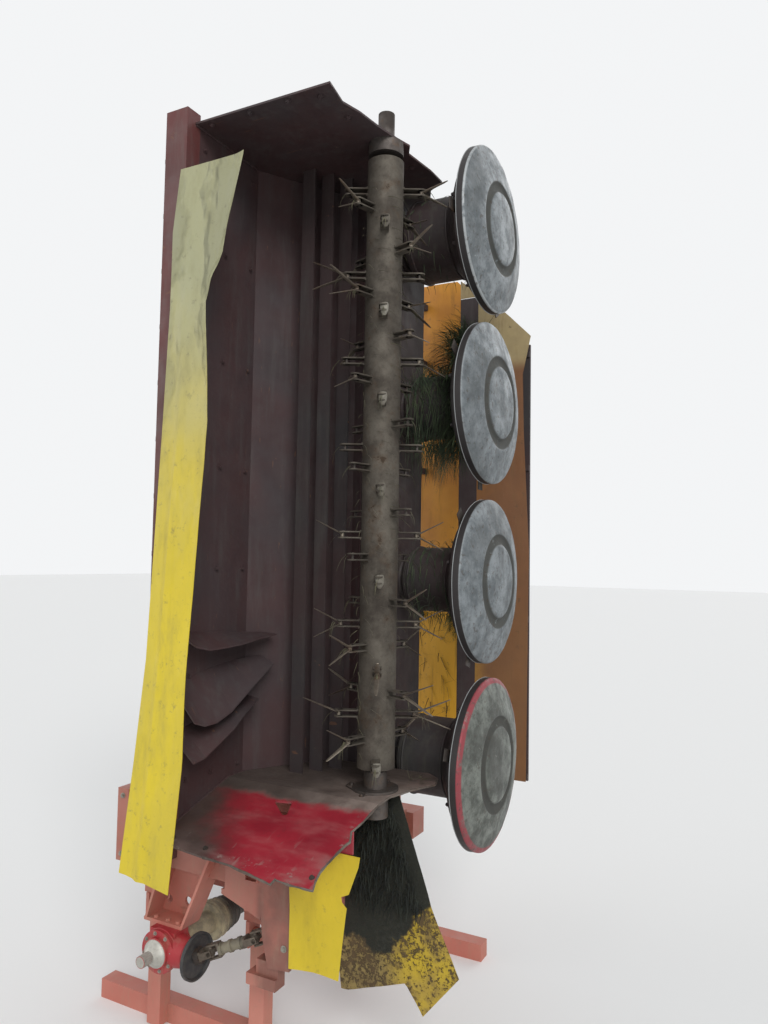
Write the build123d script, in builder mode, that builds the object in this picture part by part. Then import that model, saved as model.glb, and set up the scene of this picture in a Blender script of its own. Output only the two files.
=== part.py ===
"""Rear-mounted four-drum mower with a tined conditioner rotor, folded up on its parking stands.

Millimetres. X is to the machine's right and points at the ground once the mower is lowered.
Y is the driving direction. Z is up, and runs outwards along the mower once it is lowered.
Every number below is counted from the centre of the lowest dish, at its rim. The pieces are
moved together at the end, so that the origin lies on the floor under the middle of the whole.
"""

import os
from math import atan2, cos, degrees, hypot, radians, sin

from build123d import *

os.makedirs("parts", exist_ok=True)

# Cutting unit
DRUMS = 4
PITCH = 762.5
SOLE = 53.0  # the dish caps, which glide on the ground at work
DISH_R = (353.4, 347.6, 347.6, 353.4)
CAP_R = 152.0
NECK_R = (165.0, 140.0, 140.0, 180.0)
BLADE_TIP_R = 372.0
BLADES = 3
BLADE_TURN = (14.0, -20.0, -0.5, 32.0)

# Gear beam that carries the drums
BEAM_TOP, BEAM_SOLE = -600.0, -410.0
BEAM_REAR, BEAM_FRONT = -150.0, 170.0
BEAM_LOW, BEAM_HIGH = -146.0, 2455.0

# Hood. The inner wall is level under the rotor, and slopes down from a fold to its rear edge
WALL_Z, WALL = -150.0, 8.0
WALL_TOP, FOLD_Y, WALL_DROP = -28.0, -650.0, 0.319
OUTER_Z = 2500.0
SHEET = 6.0
REAR_Y = -1000.0
ROOF_X = -863.0
BAR_X, BAR_Y = (-965.0, -860.0), (-1000.0, -928.0)

# Conditioner rotor
ROTOR_X, ROTOR_Y = -275.0, -500.0
ROTOR_R = 72.5
ROTOR_LOW, ROTOR_HIGH = 60.0, 2420.0
TINE_R, SHORT_R = 285.0, 250.0  # the tines near the blades are short
TINE_ROWS, TINE_LOW, TINE_STEP = 27, 90.0, 85.0
TINE_START, TINE_TURN = 118.0, -45.0
LUG_R, LUG_TIP = 132.0, 148.0

# Fold hinge: the soles land on the floor when the mower has turned down by 90 degrees
PIVOT_X, PIVOT_Z = -530.0, -540.0
FLOOR = PIVOT_Z - (SOLE - PIVOT_X)
PIN_R = 30.0
SLEEVE_R, SLEEVE_Y = 55.0, (-590.0, -270.0)
LUG_GAP, LUG_T = 6.0, 16.0
FIT = 0.05

# Carrier frame and three-point headstock
ARM_LOW, ARM_HIGH = -585.0, -445.0
MAIN_ARM, LEFT_ARM = -730.0, -1260.0
ARM_W = 140.0
ARM_REAR, ARM_FRONT = -600.0, 560.0
CROSS_X, CROSS_Y, CROSS_Z = (-1720.0, -620.0), (560.0, 690.0), (-590.0, -460.0)
HITCH_X, HITCH_Y, HITCH_Z = -1250.0, 800.0, -543.0
HITCH_SPAN, MAST = 825.0, 610.0
HITCH_PIN_R, TOP_PIN_R = 14.2, 12.7

# Lift cylinder, in a plane across the machine
LIFT_Y = -510.0
LIFT_FOOT = (LEFT_ARM, -365.0)
LIFT_EYE = (-680.0, -350.0)
BARREL, BARREL_R, ROD_R = (80.0, 500.0), 45.0, 22.0

# Front guard
GUARD_Y = 620.0
GUARD_HINGE = (-612.0, 196.0)
GUARD_LOW, GUARD_HIGH = -230.0, 2230.0

# Post behind the fold hinge, with the drive's gearbox hanging from it
POST_X, POST_Y, POST_Z = (-1315.0, -450.0), (-785.0, -640.0), (-365.0, -170.0)
BOX_X, BOX_Y, BOX_Z = -980.0, -835.0, -633.0
BOX_R, DISC_R, DISC_X = 78.0, 84.0, -842.0
BRACKET_Z = BOX_Z + 71.0
SHAFT_END = (-575.0, -762.0, -525.0)

# Parking stands
REAR_HINGE = (-570.0, -650.0)
FRONT_HINGE = (560.0, -650.0)
LEG_W, SKID_X = 70.0, (-1620.0, -250.0)

drum_z = [PITCH * n for n in range(DRUMS)]
pieces = {}


def keep(name, builder):
    builder.part.label = name
    pieces[name] = builder


def block(x, y, z):
    """A box from its low and high limits along each axis."""
    with Locations(((x[0] + x[1]) / 2, (y[0] + y[1]) / 2, (z[0] + z[1]) / 2)):
        Box(x[1] - x[0], y[1] - y[0], z[1] - z[0])


# Drums, blades and dishes

for n, z in enumerate(drum_z):
    axis = Axis((0, 0, z), (1, 0, 0))
    neck = NECK_R[n]

    with BuildPart() as drum:
        with BuildSketch(Plane.XY.offset(z)):
            with BuildLine():
                Polyline(
                    (-404, 0), (-404, 40), (-372, 40), (-372, neck - 25), (-355, neck - 6),
                    (-345, neck - 6), (-345, neck), (-150, neck), (-110, neck + 40), (-78, 285),
                    (-66, 300), (-56, 300), (-56, 60), (-56, 25), (-4, 25), (-4, 0), (-404, 0),
                )
            make_face()
        revolve(axis=axis)
    keep(f"drum_{n + 1}", drum)

    with BuildPart() as blades:
        for k in range(BLADES):
            turn = BLADE_TURN[n] + 360 / BLADES * k
            plane = Plane(origin=(-56, 0, z), x_dir=(0, sin(radians(turn)), -cos(radians(turn))),
                          z_dir=(1, 0, 0))
            with BuildSketch(plane):
                with Locations((314, 0)):
                    Rectangle(116, 48)
            extrude(amount=4)
            with BuildSketch(plane):
                with Locations((276, 0)):
                    Circle(13)
            extrude(amount=12)
    keep(f"blades_{n + 1}", blades)

    rim = DISH_R[n]
    with BuildPart() as dish:
        with BuildSketch(Plane.XY.offset(z)):
            with BuildLine():
                Polyline(
                    (-36, rim), (-8, rim), (0, rim - 4), (6, rim - 16), (22, rim - 80), (38, 205),
                    (38, 200), (30, 190), (30, CAP_R + 11), (44, CAP_R), (48, 136), (SOLE, 70), (SOLE, 0),
                    (8, 0), (8, 25 + FIT), (-40, 25 + FIT), (-40, 62), (22, 62), (22, 194), (30, 203),
                    (30, 206), (14, rim - 82), (-2, rim - 18), (-10, rim - 6), (-36, rim - 6),
                    (-36, rim),
                )
            make_face()
        revolve(axis=axis)
    keep(f"dish_{n + 1}", dish)

# Gear beam and drum necks

with BuildPart() as gear_beam:
    block((BEAM_TOP, BEAM_SOLE), (BEAM_REAR, BEAM_FRONT), (BEAM_LOW, BEAM_HIGH))
    fillet(gear_beam.edges().filter_by(Axis.Z), 14)
    with Locations(*[(BEAM_TOP - 9, 10, z) for z in drum_z]):
        Box(18, 220, 280)
    for z in (90, 950, 1700):
        block((GUARD_HINGE[0] - 26, GUARD_HINGE[0] + 40), (BEAM_FRONT - 5, GUARD_HINGE[1] + 24), (z - 25, z + 25))
    with Locations((*GUARD_HINGE, 1000)):
        Cylinder(16 + FIT, 2600, mode=Mode.SUBTRACT)
keep("gear_beam", gear_beam)

with BuildPart() as drum_necks:
    for z in drum_z:
        with BuildSketch(Plane.XY.offset(z)):
            with BuildLine():
                Polyline((-410, 40 + FIT), (-410, 128), (-398, 128), (-390, 105), (-378, 100),
                         (-378, 40 + FIT), (-410, 40 + FIT))
            make_face()
        revolve(axis=Axis((0, 0, z), (1, 0, 0)))
keep("drum_necks", drum_necks)

# Hood

roof_line = [
    (BEAM_TOP + 40, BEAM_REAR - 3.3), (BEAM_TOP, BEAM_REAR - 3.3), (BEAM_TOP - 40, BEAM_REAR - 30),
    (ROOF_X, -560), (ROOF_X, -928),
]
with BuildPart() as hood_roof:
    with BuildSketch(Plane.XY.offset(WALL_Z + WALL / 2)):
        with BuildLine():
            Polyline(*roof_line)
        trace(line_width=SHEET)
    extrude(amount=OUTER_Z - WALL_Z - WALL)
    above = WALL_TOP + WALL / 2 + 0.5
    with BuildSketch(Plane.YZ.offset(ROOF_X - 40)):
        with BuildLine():
            Polyline((FOLD_Y - 450, above - 450 * WALL_DROP), (FOLD_Y, above), (-198, above), (-198, -200),
                     (FOLD_Y - 450, -200), (FOLD_Y - 450, above - 450 * WALL_DROP))
        make_face()
    extrude(amount=340, mode=Mode.SUBTRACT)
keep("hood_roof", hood_roof)

with BuildPart() as rear_bar:
    block(BAR_X, BAR_Y, (-250, 2545))
keep("rear_bar", rear_bar)

with BuildPart() as side_wall_inner:
    with BuildSketch(Plane.XY.offset(WALL_TOP)):
        with BuildLine():
            Polyline(
                (-859.7, FOLD_Y - 1), (-859.7, -540), (-660, -200), (-330, -200), (-193, -192),
                (-135, -234), (-108, -319), (-157, -440), (-185, -552), (-180, FOLD_Y - 1),
                (-859.7, FOLD_Y - 1),
            )
        make_face()
        with Locations((ROTOR_X, ROTOR_Y)):
            Circle(34, mode=Mode.SUBTRACT)
    extrude(amount=WALL / 2, both=True)
    # The slope, drawn as X and the distance down from the fold, with a slot torn in it
    slope = Plane(origin=(0, FOLD_Y, WALL_TOP), x_dir=(1, 0, 0), z_dir=(0, -WALL_DROP, 1))
    edge = (
        (-859.7, 0), (-859.7, 408), (-762, 426), (-633, 438), (-501, 444), (-315, 480), (-313, 455),
        (-253, 460), (-169, 461), (-183, 425), (-192, 380), (-192, 343), (-181, 240), (-174, 219),
        (-197, 170), (-186, 109), (-182, 32), (-180, 0),
    )
    slot = ((-573, 90), (-498, 79), (-472, 153), (-488, 158))
    with BuildSketch(slope):
        for outline, mode in ((edge, Mode.ADD), (slot, Mode.SUBTRACT)):
            with BuildLine():
                Polyline(*[(x, -down) for x, down in outline], close=True)
            make_face(mode=mode)
    extrude(amount=WALL / 2, both=True)
    # A step down to the gear beam, and the strip that the panel hangs from
    block((-648, -385), (-208, -200), (WALL_Z - WALL / 2, WALL_TOP))
    with BuildSketch(Plane.XY.offset(WALL_Z)):
        with BuildLine():
            Polyline((-648, -208), (-385, -208), (-385, 140), (-410, 165), (-590, 165), (-640, 120),
                     (-648, -208))
        make_face()
    extrude(amount=WALL / 2, both=True)
    block((-444, -190), (-811.7, -804), (WALL_Z - WALL / 2, WALL_TOP - 50))
keep("side_wall_inner", side_wall_inner)

with BuildPart() as side_wall_outer:
    with BuildSketch(Plane.XY.offset(OUTER_Z - WALL / 2)):
        with BuildLine():
            Polyline(
                (-859.7, -956), (-260, -948), (-281, -826), (-257, -743), (-242, -639), (-215, -515),
                (-195, -448), (-226, -394), (-203, -227), (-200, -118), (-274, -72), (-336, 52),
                (-590, 60), (-640, -150), (-859.7, -540), (-859.7, -956),
            )
        make_face()
        with Locations((ROTOR_X, ROTOR_Y)):
            Circle(34, mode=Mode.SUBTRACT)
    extrude(amount=WALL)
keep("side_wall_outer", side_wall_outer)

with BuildPart() as conditioner_plate:
    for y, x in ((-330, -590), (-400, -640), (-470, -690)):
        block((x, x + 60), (y, y + 8), (WALL_TOP + WALL / 2, OUTER_Z - WALL / 2))
keep("conditioner_plate", conditioner_plate)

# Conditioner rotor

# Every tine's place: its pivot's height on the rotor, with X pointing outwards. Each row has two
tine_rows = [TINE_LOW + TINE_STEP * row for row in range(TINE_ROWS)]
tine_places = {
    reach: [
        Location((ROTOR_X, ROTOR_Y, z), (0, 0, TINE_START + TINE_TURN * row + half))
        for row, z in enumerate(tine_rows)
        for half in (0, 180)
        if (min(abs(z - drum) for drum in drum_z) < 250) == (reach == SHORT_R)
    ]
    for reach in (TINE_R, SHORT_R)
}

with BuildPart() as rotor_tube:
    with Locations((ROTOR_X, ROTOR_Y, (ROTOR_LOW + ROTOR_HIGH) / 2)):
        Cylinder(ROTOR_R, ROTOR_HIGH - ROTOR_LOW)
    with Locations((ROTOR_X, ROTOR_Y, ROTOR_LOW - 92), (ROTOR_X, ROTOR_Y, ROTOR_HIGH + 60)):
        Cylinder(25, 184)
    with Locations(*[
        place * Pos((LUG_TIP + 64) / 2, 0, lift)
        for places in tine_places.values() for place in places for lift in (-18, 18)
    ]):
        Box(LUG_TIP - 64, 36, 6)
keep("rotor_tube", rotor_tube)

with BuildPart() as tines:
    for reach, places in tine_places.items():
        with Locations(*[place * Pos(LUG_R, 0, 0) for place in places]):
            Cylinder(14, 29.4)
        for side in (-1, 1):
            lean = degrees(atan2(52, TINE_R - LUG_R))
            leg = Location((LUG_R, 0, 0), (0, -side * lean, 0)) * Pos((reach - LUG_R) / 2 + 2, 0, 0)
            with Locations(*[place * leg for place in places]):
                Box(reach - LUG_R, 14, 8)
keep("tines", tines)

with BuildPart() as rotor_bearings:
    for low, high, radius in (
        (WALL_TOP - WALL / 2 - 92, WALL_TOP - WALL / 2, 50),
        (WALL_TOP + WALL / 2, WALL_TOP + WALL / 2 + 10, 88),
        (WALL_TOP + WALL / 2 + 10, ROTOR_LOW - 12, 44),
        (OUTER_Z - 56, OUTER_Z - WALL / 2, 70),
        (OUTER_Z + WALL / 2, OUTER_Z + 120, 33),
    ):
        with Locations((ROTOR_X, ROTOR_Y, (low + high) / 2)):
            Cylinder(radius, high - low)
    with Locations((ROTOR_X, ROTOR_Y, WALL_TOP), (ROTOR_X, ROTOR_Y, OUTER_Z)):
        Cylinder(33, 10)
    with Locations((ROTOR_X, ROTOR_Y, (ROTOR_LOW + ROTOR_HIGH) / 2)):
        Cylinder(25 + FIT, ROTOR_HIGH - ROTOR_LOW + 2 * 188, mode=Mode.SUBTRACT)
keep("rotor_bearings", rotor_bearings)

# Folding frame of the mower: a member under the inner wall, two hinge lugs and the lift crank

SIDE_X, SIDE_Z = (-740.0, -620.0), (-300.0, -154.0)
LUG_X = (PIVOT_X - 90, PIVOT_X + 90)
lug_rear = SLEEVE_Y[0] - LUG_GAP - LUG_T
lug_front = SLEEVE_Y[1] + LUG_GAP

with BuildPart() as mower_frame:
    block(SIDE_X, (POST_Y[1] + 10, 150), SIDE_Z)
    block((SIDE_X[1] - 5, LUG_X[1]), (lug_rear, lug_front + LUG_T), (-194, SIDE_Z[1]))
    block(SIDE_X, (-560, -212), (SIDE_Z[1] - 5, WALL_TOP - WALL / 2))
    for y in (lug_rear, lug_front):
        with BuildSketch(Plane.XZ.offset(-y)):
            with BuildLine():
                Polyline(
                    (SIDE_X[1] - 30, SIDE_Z[1] - 10), (SIDE_X[1] - 30, SIDE_Z[0]), (LUG_X[0], -340),
                    (LUG_X[0], PIVOT_Z - 30), (LUG_X[0] + 35, PIVOT_Z - 75),
                    (LUG_X[1] - 35, PIVOT_Z - 75), (LUG_X[1], PIVOT_Z - 30),
                    (LUG_X[1], SIDE_Z[1] - 10), (SIDE_X[1] - 30, SIDE_Z[1] - 10),
                )
            make_face()
            with Locations((PIVOT_X, PIVOT_Z)):
                Circle(PIN_R + FIT, mode=Mode.SUBTRACT)
        extrude(amount=-LUG_T)
    eye_x, eye_z = LIFT_EYE
    for y in (LIFT_Y - 38, LIFT_Y + 26):
        with BuildSketch(Plane.XZ.offset(-y)):
            with BuildLine():
                Polyline(
                    (eye_x - 50, SIDE_Z[0] + 5), (eye_x - 50, eye_z - 20), (eye_x - 25, eye_z - 50),
                    (eye_x + 25, eye_z - 50), (eye_x + 50, eye_z - 20), (eye_x + 50, SIDE_Z[0] + 5),
                    (eye_x - 50, SIDE_Z[0] + 5),
                )
            make_face()
            with Locations(LIFT_EYE):
                Circle(20, mode=Mode.SUBTRACT)
        extrude(amount=-12)
keep("mower_frame", mower_frame)

with BuildPart() as fold_pin:
    pin_y = (lug_rear - 20, lug_front + LUG_T + 6)
    with Locations(Location((PIVOT_X, sum(pin_y) / 2, PIVOT_Z), (90, 0, 0))):
        Cylinder(PIN_R, pin_y[1] - pin_y[0])
    with Locations(Location((PIVOT_X, lug_rear - LUG_GAP - 7, PIVOT_Z), (90, 0, 0))):
        Cylinder(46, 14)
keep("fold_pin", fold_pin)

# Post of the carrier, behind the hinge: its end box, gusset, leg plate and foot show in the photo

with BuildPart() as post_beam:
    block(POST_X, POST_Y, POST_Z)
    block((POST_X[0], POST_X[0] + 58), POST_Y, (-390, -102))
    block((MAIN_ARM - ARM_W / 2, MAIN_ARM + ARM_W / 2), (POST_Y[1] - 5, ARM_REAR + 30),
          (ARM_HIGH + 0.3, SIDE_Z[0] - 10))
    block((-740, -646), (-801, POST_Y[1]), (-394, -290))
    with BuildSketch(Plane.XZ.offset(801)):
        with BuildLine():
            Polyline((-755, -384), (-640, -380), (-575, -440), (-575, -458), (-612, -446),
                     (-755, -402), (-755, -384))
        make_face()
        with BuildLine():
            Polyline((-590, -200), (-590, -337), (-562, -524), (-537, -617), (-445, -607), (-453, -200),
                     (-590, -200))
        make_face()
    extrude(amount=-16)
    block((-648, -575), (-801, POST_Y[0] + 5), (-440, -330))
    block((-628, -500), (-805, -745), (-690, -650))
    block((-595, -500), (-790, -745), (-655, -600))
keep("post_beam", post_beam)

# Gearbox and drive line

with BuildPart() as gearbox:
    with BuildSketch(Plane.XY.offset(BOX_Z)):
        with BuildLine():
            Polyline(
                (BOX_X, BOX_Y - 138), (BOX_X + 21, BOX_Y - 138), (BOX_X + 21, BOX_Y - 92),
                (BOX_X + 48, BOX_Y - 66), (BOX_X + 55, BOX_Y - 64), (BOX_X + 55, BOX_Y - 50),
                (BOX_X + BOX_R, BOX_Y - 50), (BOX_X + BOX_R, BOX_Y - 14), (BOX_X + 66, BOX_Y - 12),
                (BOX_X + 66, BOX_Y + 60), (BOX_X, BOX_Y + 60), (BOX_X, BOX_Y - 138),
            )
        make_face()
    revolve(axis=Axis((BOX_X, 0, BOX_Z), (0, 1, 0)))
    with BuildSketch(Plane.XY.offset(BOX_Z)):
        with BuildLine():
            Polyline(
                (BOX_X, BOX_Y), (BOX_X, BOX_Y + 59), (BOX_X + 64, BOX_Y + 59), (DISC_X - 30, BOX_Y + 50),
                (DISC_X - 24, BOX_Y + 44), (DISC_X - 24, BOX_Y + 32), (DISC_X - 0.3, BOX_Y + 32),
                (DISC_X - 0.3, BOX_Y), (BOX_X, BOX_Y),
            )
        make_face()
    revolve(axis=Axis((0, BOX_Y, BOX_Z), (1, 0, 0)))
    block((BOX_X - 60, BOX_X + 60), (BOX_Y - 28, BOX_Y + 48), (BOX_Z + 30, BRACKET_Z - 0.3))
keep("gearbox", gearbox)

# The bracket is a channel: outline of its back and the top of its end plate, as (X, Z)
CHANNEL_Y = (-830.0, -730.0)
with BuildPart() as gearbox_bracket:
    with BuildSketch(Plane.XZ.offset(-CHANNEL_Y[1])):
        with BuildLine():
            Polyline((-1107, BRACKET_Z), (-917, BRACKET_Z), (-831, POST_Z[0] - 0.3), (-1042, POST_Z[0] - 0.3),
                     (-1107, BRACKET_Z))
        make_face()
        with Locations((-1061, -506), (-963, -496)):
            Circle(17, mode=Mode.SUBTRACT)
    extrude(amount=12)
    for foot, top in (((-1107, BRACKET_Z), (-1014, -281)), ((-928, BRACKET_Z), (-803, -281))):
        with BuildSketch(Plane.XZ.offset(-CHANNEL_Y[0])):
            with BuildLine():
                Polyline(foot, (foot[0] + 11, foot[1]), (top[0] + 11, top[1]), top, foot)
            make_face()
        extrude(amount=-(POST_Y[0] - 0.3 - CHANNEL_Y[0]))
        reach = (top[0] - foot[0]) * (POST_Z[0] - 0.3 - BRACKET_Z) / (top[1] - BRACKET_Z)
        with BuildSketch(Plane.XZ.offset(-POST_Y[0] + 1)):
            with BuildLine():
                Polyline(foot, (foot[0] + 11, foot[1]), (foot[0] + 11 + reach, POST_Z[0] - 0.3),
                         (foot[0] + reach, POST_Z[0] - 0.3), foot)
            make_face()
        extrude(amount=-(CHANNEL_Y[1] - POST_Y[0] + 1))
    block((-1107, -917), CHANNEL_Y, (BRACKET_Z, BRACKET_Z + 12))
    for x in (-1060, -1000, -950):
        with Locations((x, -812, BRACKET_Z + 16)):
            Cylinder(9, 10)
keep("gearbox_bracket", gearbox_bracket)

with BuildPart() as guard_disc:
    rim = BOX_Y + DISC_R
    with BuildSketch(Plane.XY.offset(BOX_Z)):
        with BuildLine():
            Polyline(
                (DISC_X, BOX_Y), (DISC_X, rim - 6), (DISC_X + 3, rim), (DISC_X + 16, rim),
                (DISC_X + 16, rim - 6), (DISC_X + 7, rim - 11), (DISC_X + 7, BOX_Y), (DISC_X, BOX_Y),
            )
        make_face()
    revolve(axis=Axis((0, BOX_Y, BOX_Z), (1, 0, 0)))
keep("guard_disc", guard_disc)

# The cross shaft leans a little upwards and forwards, to the hinge
START = (DISC_X + 7.3, BOX_Y, BOX_Z)
reach = [b - a for a, b in zip(START, SHAFT_END)]
run = hypot(*reach)
CROSS = Plane(origin=START, x_dir=(0, 1, 0), z_dir=tuple(reach))
with BuildPart() as cross_shaft:
    with Locations(Location((START[0] + 20, BOX_Y, BOX_Z), (0, 90, 0))):
        Cylinder(30, 40)
    with Locations(CROSS * Pos(0, 0, run / 2 + 15)):
        Cylinder(19, run - 30)
    with Locations(CROSS * Pos(0, 0, 62), CROSS * Pos(0, 0, run - 42)):
        Box(54, 42, 56)
keep("cross_shaft", cross_shaft)

with BuildPart() as pto_guard:
    with BuildSketch(Plane.XY.offset(BOX_Z)):
        with BuildLine():
            Polyline(
                (BOX_X, -600), (BOX_X + 71, -600), (BOX_X + 76, -584), (BOX_X + 58, -464),
                (BOX_X + 40, -442), (BOX_X + 40, -60), (BOX_X + 34, -60), (BOX_X + 34, -445),
                (BOX_X + 50, -468), (BOX_X + 68, -584), (BOX_X + 65, -592), (BOX_X, -592),
                (BOX_X, -600),
            )
        make_face()
    revolve(axis=Axis((BOX_X, 0, BOX_Z), (0, 1, 0)))
    with Locations(Location((BOX_X, (BOX_Y + 60.3 - 600) / 2, BOX_Z), (90, 0, 0))):
        Cylinder(44, abs(BOX_Y + 60.3 + 600))
keep("pto_guard", pto_guard)

with BuildPart() as pto_shaft:
    with Locations(Location((BOX_X, -275, BOX_Z), (90, 0, 0))):
        Cylinder(33.7, 620)
    with Locations(Location((BOX_X, 5, BOX_Z), (90, 0, 0))):
        Cylinder(36, 100)
        Cylinder(17.4, 100, mode=Mode.SUBTRACT)
keep("pto_shaft", pto_shaft)

# Guide vanes under the roof: at each place along Y, how far the vane stands off the roof, the
# height of its root and the height of its free edge
VANES = (
    ((-985, 110, 568, 522), (-911, 110, 563, 505), (-814, 110, 556, 506), (-719, 110, 550, 510),
     (-611, 105, 541, 521), (-496, 70, 534, 530)),
    ((-985, 110, 370, 254), (-926, 110, 385, 234), (-859, 110, 400, 235), (-776, 110, 415, 261),
     (-648, 105, 430, 332), (-505, 70, 440, 410)),
    ((-983, 110, 200, 111), (-920, 110, 212, 119), (-850, 110, 225, 151), (-753, 110, 250, 196),
     (-676, 100, 265, 239), (-570, 80, 285, 275)),
)


def roof_at(y):
    """The X of the roof's middle at one place along Y."""
    high, low = roof_line[3], roof_line[2]
    if y <= high[1]:
        return high[0]
    return high[0] + (low[0] - high[0]) * (y - high[1]) / (low[1] - high[1])


with BuildPart() as guide_vanes:
    for vane in VANES:
        for (y1, deep1, root1, free1), (y2, deep2, root2, free2) in zip(vane, vane[1:]):
            for y, deep, root, free in ((y1, deep1, root1, free1), (y2, deep2, root2, free2)):
                near = roof_at(y) + 3.9
                with BuildSketch(Plane.XZ.offset(-y)):
                    with BuildLine():
                        Polyline((near, root - 3), (near + deep, free - 3), (near + deep, free + 3),
                                 (near, root + 3), (near, root - 3))
                    make_face()
            loft(ruled=True)
keep("guide_vanes", guide_vanes)

# Soft pieces

CANVAS = 12.0
with BuildPart() as rear_curtain:
    with BuildSketch(Plane(origin=(0, REAR_Y - 0.3, 2300), x_dir=(1, 0, 0), z_dir=(0, -1, 0.05))):
        with BuildLine():
            Polyline(
                (-879, 0), (-577, 0), (-633, -273), (-645, -365), (-688, -462), (-705, -541),
                (-674, -975), (-684, -1397), (-694, -1807), (-687, -2138), (-713, -2581),
                (-936, -2550), (-903, -2168), (-880, -1822), (-880, -959), (-884, -545),
                (-897, -240), (-879, 0),
            )
        make_face()
    extrude(amount=CANVAS)
keep("rear_curtain", rear_curtain)

with BuildPart() as inner_panel:
    with BuildSketch(Plane.XZ.offset(812)):
        with BuildLine():
            Polyline(
                (-444, -154.3), (-158, -154.3), (-164, -190), (-200, -285), (-230, -298), (-226, -316),
                (-206, -330), (-220, -437), (-234, -576), (-337, -575), (-436, -585), (-444, -154.3),
            )
        make_face()
    extrude(amount=CANVAS)
keep("inner_panel", inner_panel)

with BuildPart() as inner_canvas:
    with BuildSketch(Plane.XZ.offset(400)):
        with BuildLine():
            top = WALL_TOP - WALL / 2 - 0.3
            Polyline((-437, top), (-230, top), (-79, -453), (36, -687), (-108, -859), (-183, -757),
                     (-434, -846), (-462, -846), (-470, -782), (-437, -200), (-437, top))
        make_face()
    extrude(amount=CANVAS)
keep("inner_canvas", inner_canvas)

# Front guard

ARM_X = GUARD_HINGE[0] - 13
GUARD_ARMS = ((GUARD_LOW + 20, -35), (560, -35), (1320, -35), (1900, -35), (GUARD_HIGH - 20, -310))
RAILS = (((-410, -310), -4, GUARD_HIGH), ((-113, -35), 16, 1950))
with BuildPart() as guard_frame:
    with Locations((GUARD_HINGE[0], GUARD_HINGE[1], (GUARD_LOW + GUARD_HIGH) / 2)):
        Cylinder(16, GUARD_HIGH - GUARD_LOW)
    for z, tip in GUARD_ARMS:
        block((ARM_X, ARM_X + 25), (GUARD_HINGE[1] - 6, GUARD_Y + 20), (z - 15, z + 15))
        block((ARM_X, tip), (GUARD_Y + 6, GUARD_Y + 30), (z - 15, z + 15))
    for x, near, top in RAILS:
        block(x, (GUARD_Y + near, GUARD_Y + 30), (GUARD_LOW, top))
keep("guard_frame", guard_frame)

# The front canvas is in two widths, on either side of the inner rail
with BuildPart() as front_canvas:
    with BuildSketch(Plane.XZ.offset(-GUARD_Y + 8)):
        with BuildLine():
            Polyline((-640, GUARD_LOW), (-410.3, GUARD_LOW), (-410.3, 2310), (-430, 2330), (-640, 2330),
                     (-640, GUARD_LOW))
        make_face()
        with BuildLine():
            Polyline(
                (-309.7, GUARD_LOW), (-39, GUARD_LOW), (-30, 900), (-60, 1500), (-67, 1798), (-26, 1989),
                (-154, 2120), (-309.7, 2235), (-309.7, GUARD_LOW),
            )
        make_face()
    extrude(amount=-14)
    with Locations(*[(ARM_X + 12.5, GUARD_Y, z) for z, tip in GUARD_ARMS]):
        Box(25.6, 40, 30.6, mode=Mode.SUBTRACT)
keep("front_canvas", front_canvas)

# Carrier frame, headstock and stands

with BuildPart() as carrier_frame:
    half = ARM_W / 2
    for x in (MAIN_ARM, LEFT_ARM):
        block((x - half, x + half), (ARM_REAR, ARM_FRONT + 5), (ARM_LOW, ARM_HIGH))
    block(CROSS_X, CROSS_Y, CROSS_Z)
    block((LEFT_ARM + half - 5, MAIN_ARM - half + 5), (-420, -300), (ARM_LOW + 10, ARM_HIGH - 10))
    with Locations(Location((PIVOT_X, sum(SLEEVE_Y) / 2, PIVOT_Z), (90, 0, 0))):
        Cylinder(SLEEVE_R, SLEEVE_Y[1] - SLEEVE_Y[0])
        Cylinder(PIN_R + FIT, SLEEVE_Y[1] - SLEEVE_Y[0], mode=Mode.SUBTRACT)
    for y in (SLEEVE_Y[0], SLEEVE_Y[1] - 20):
        block((MAIN_ARM + half - 5, PIVOT_X - PIN_R - 15), (y, y + 20), (PIVOT_Z - 40, PIVOT_Z + 40))
    foot_x, foot_z = LIFT_FOOT
    for y in (LIFT_Y - 42, LIFT_Y + 26):
        with BuildSketch(Plane.XZ.offset(-y)):
            with BuildLine():
                Polyline(
                    (foot_x - 60, ARM_HIGH - 5), (foot_x - 45, foot_z + 20), (foot_x - 20, foot_z + 42),
                    (foot_x + 25, foot_z + 42), (foot_x + 60, ARM_HIGH - 5), (foot_x - 60, ARM_HIGH - 5),
                )
            make_face()
            with Locations(LIFT_FOOT):
                Circle(20 + FIT, mode=Mode.SUBTRACT)
        extrude(amount=-16)
keep("carrier_frame", carrier_frame)

# The headstock's plate, from the middle of the hitch: outline and opening as (X, Z)
HEAD_OUTER = ((-360, -590), (360, -590), (360, -470), (75, 112), (-75, 112), (-360, -470))
HEAD_INNER = ((-255, -480), (255, -480), (40, 10), (-40, 10))

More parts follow.
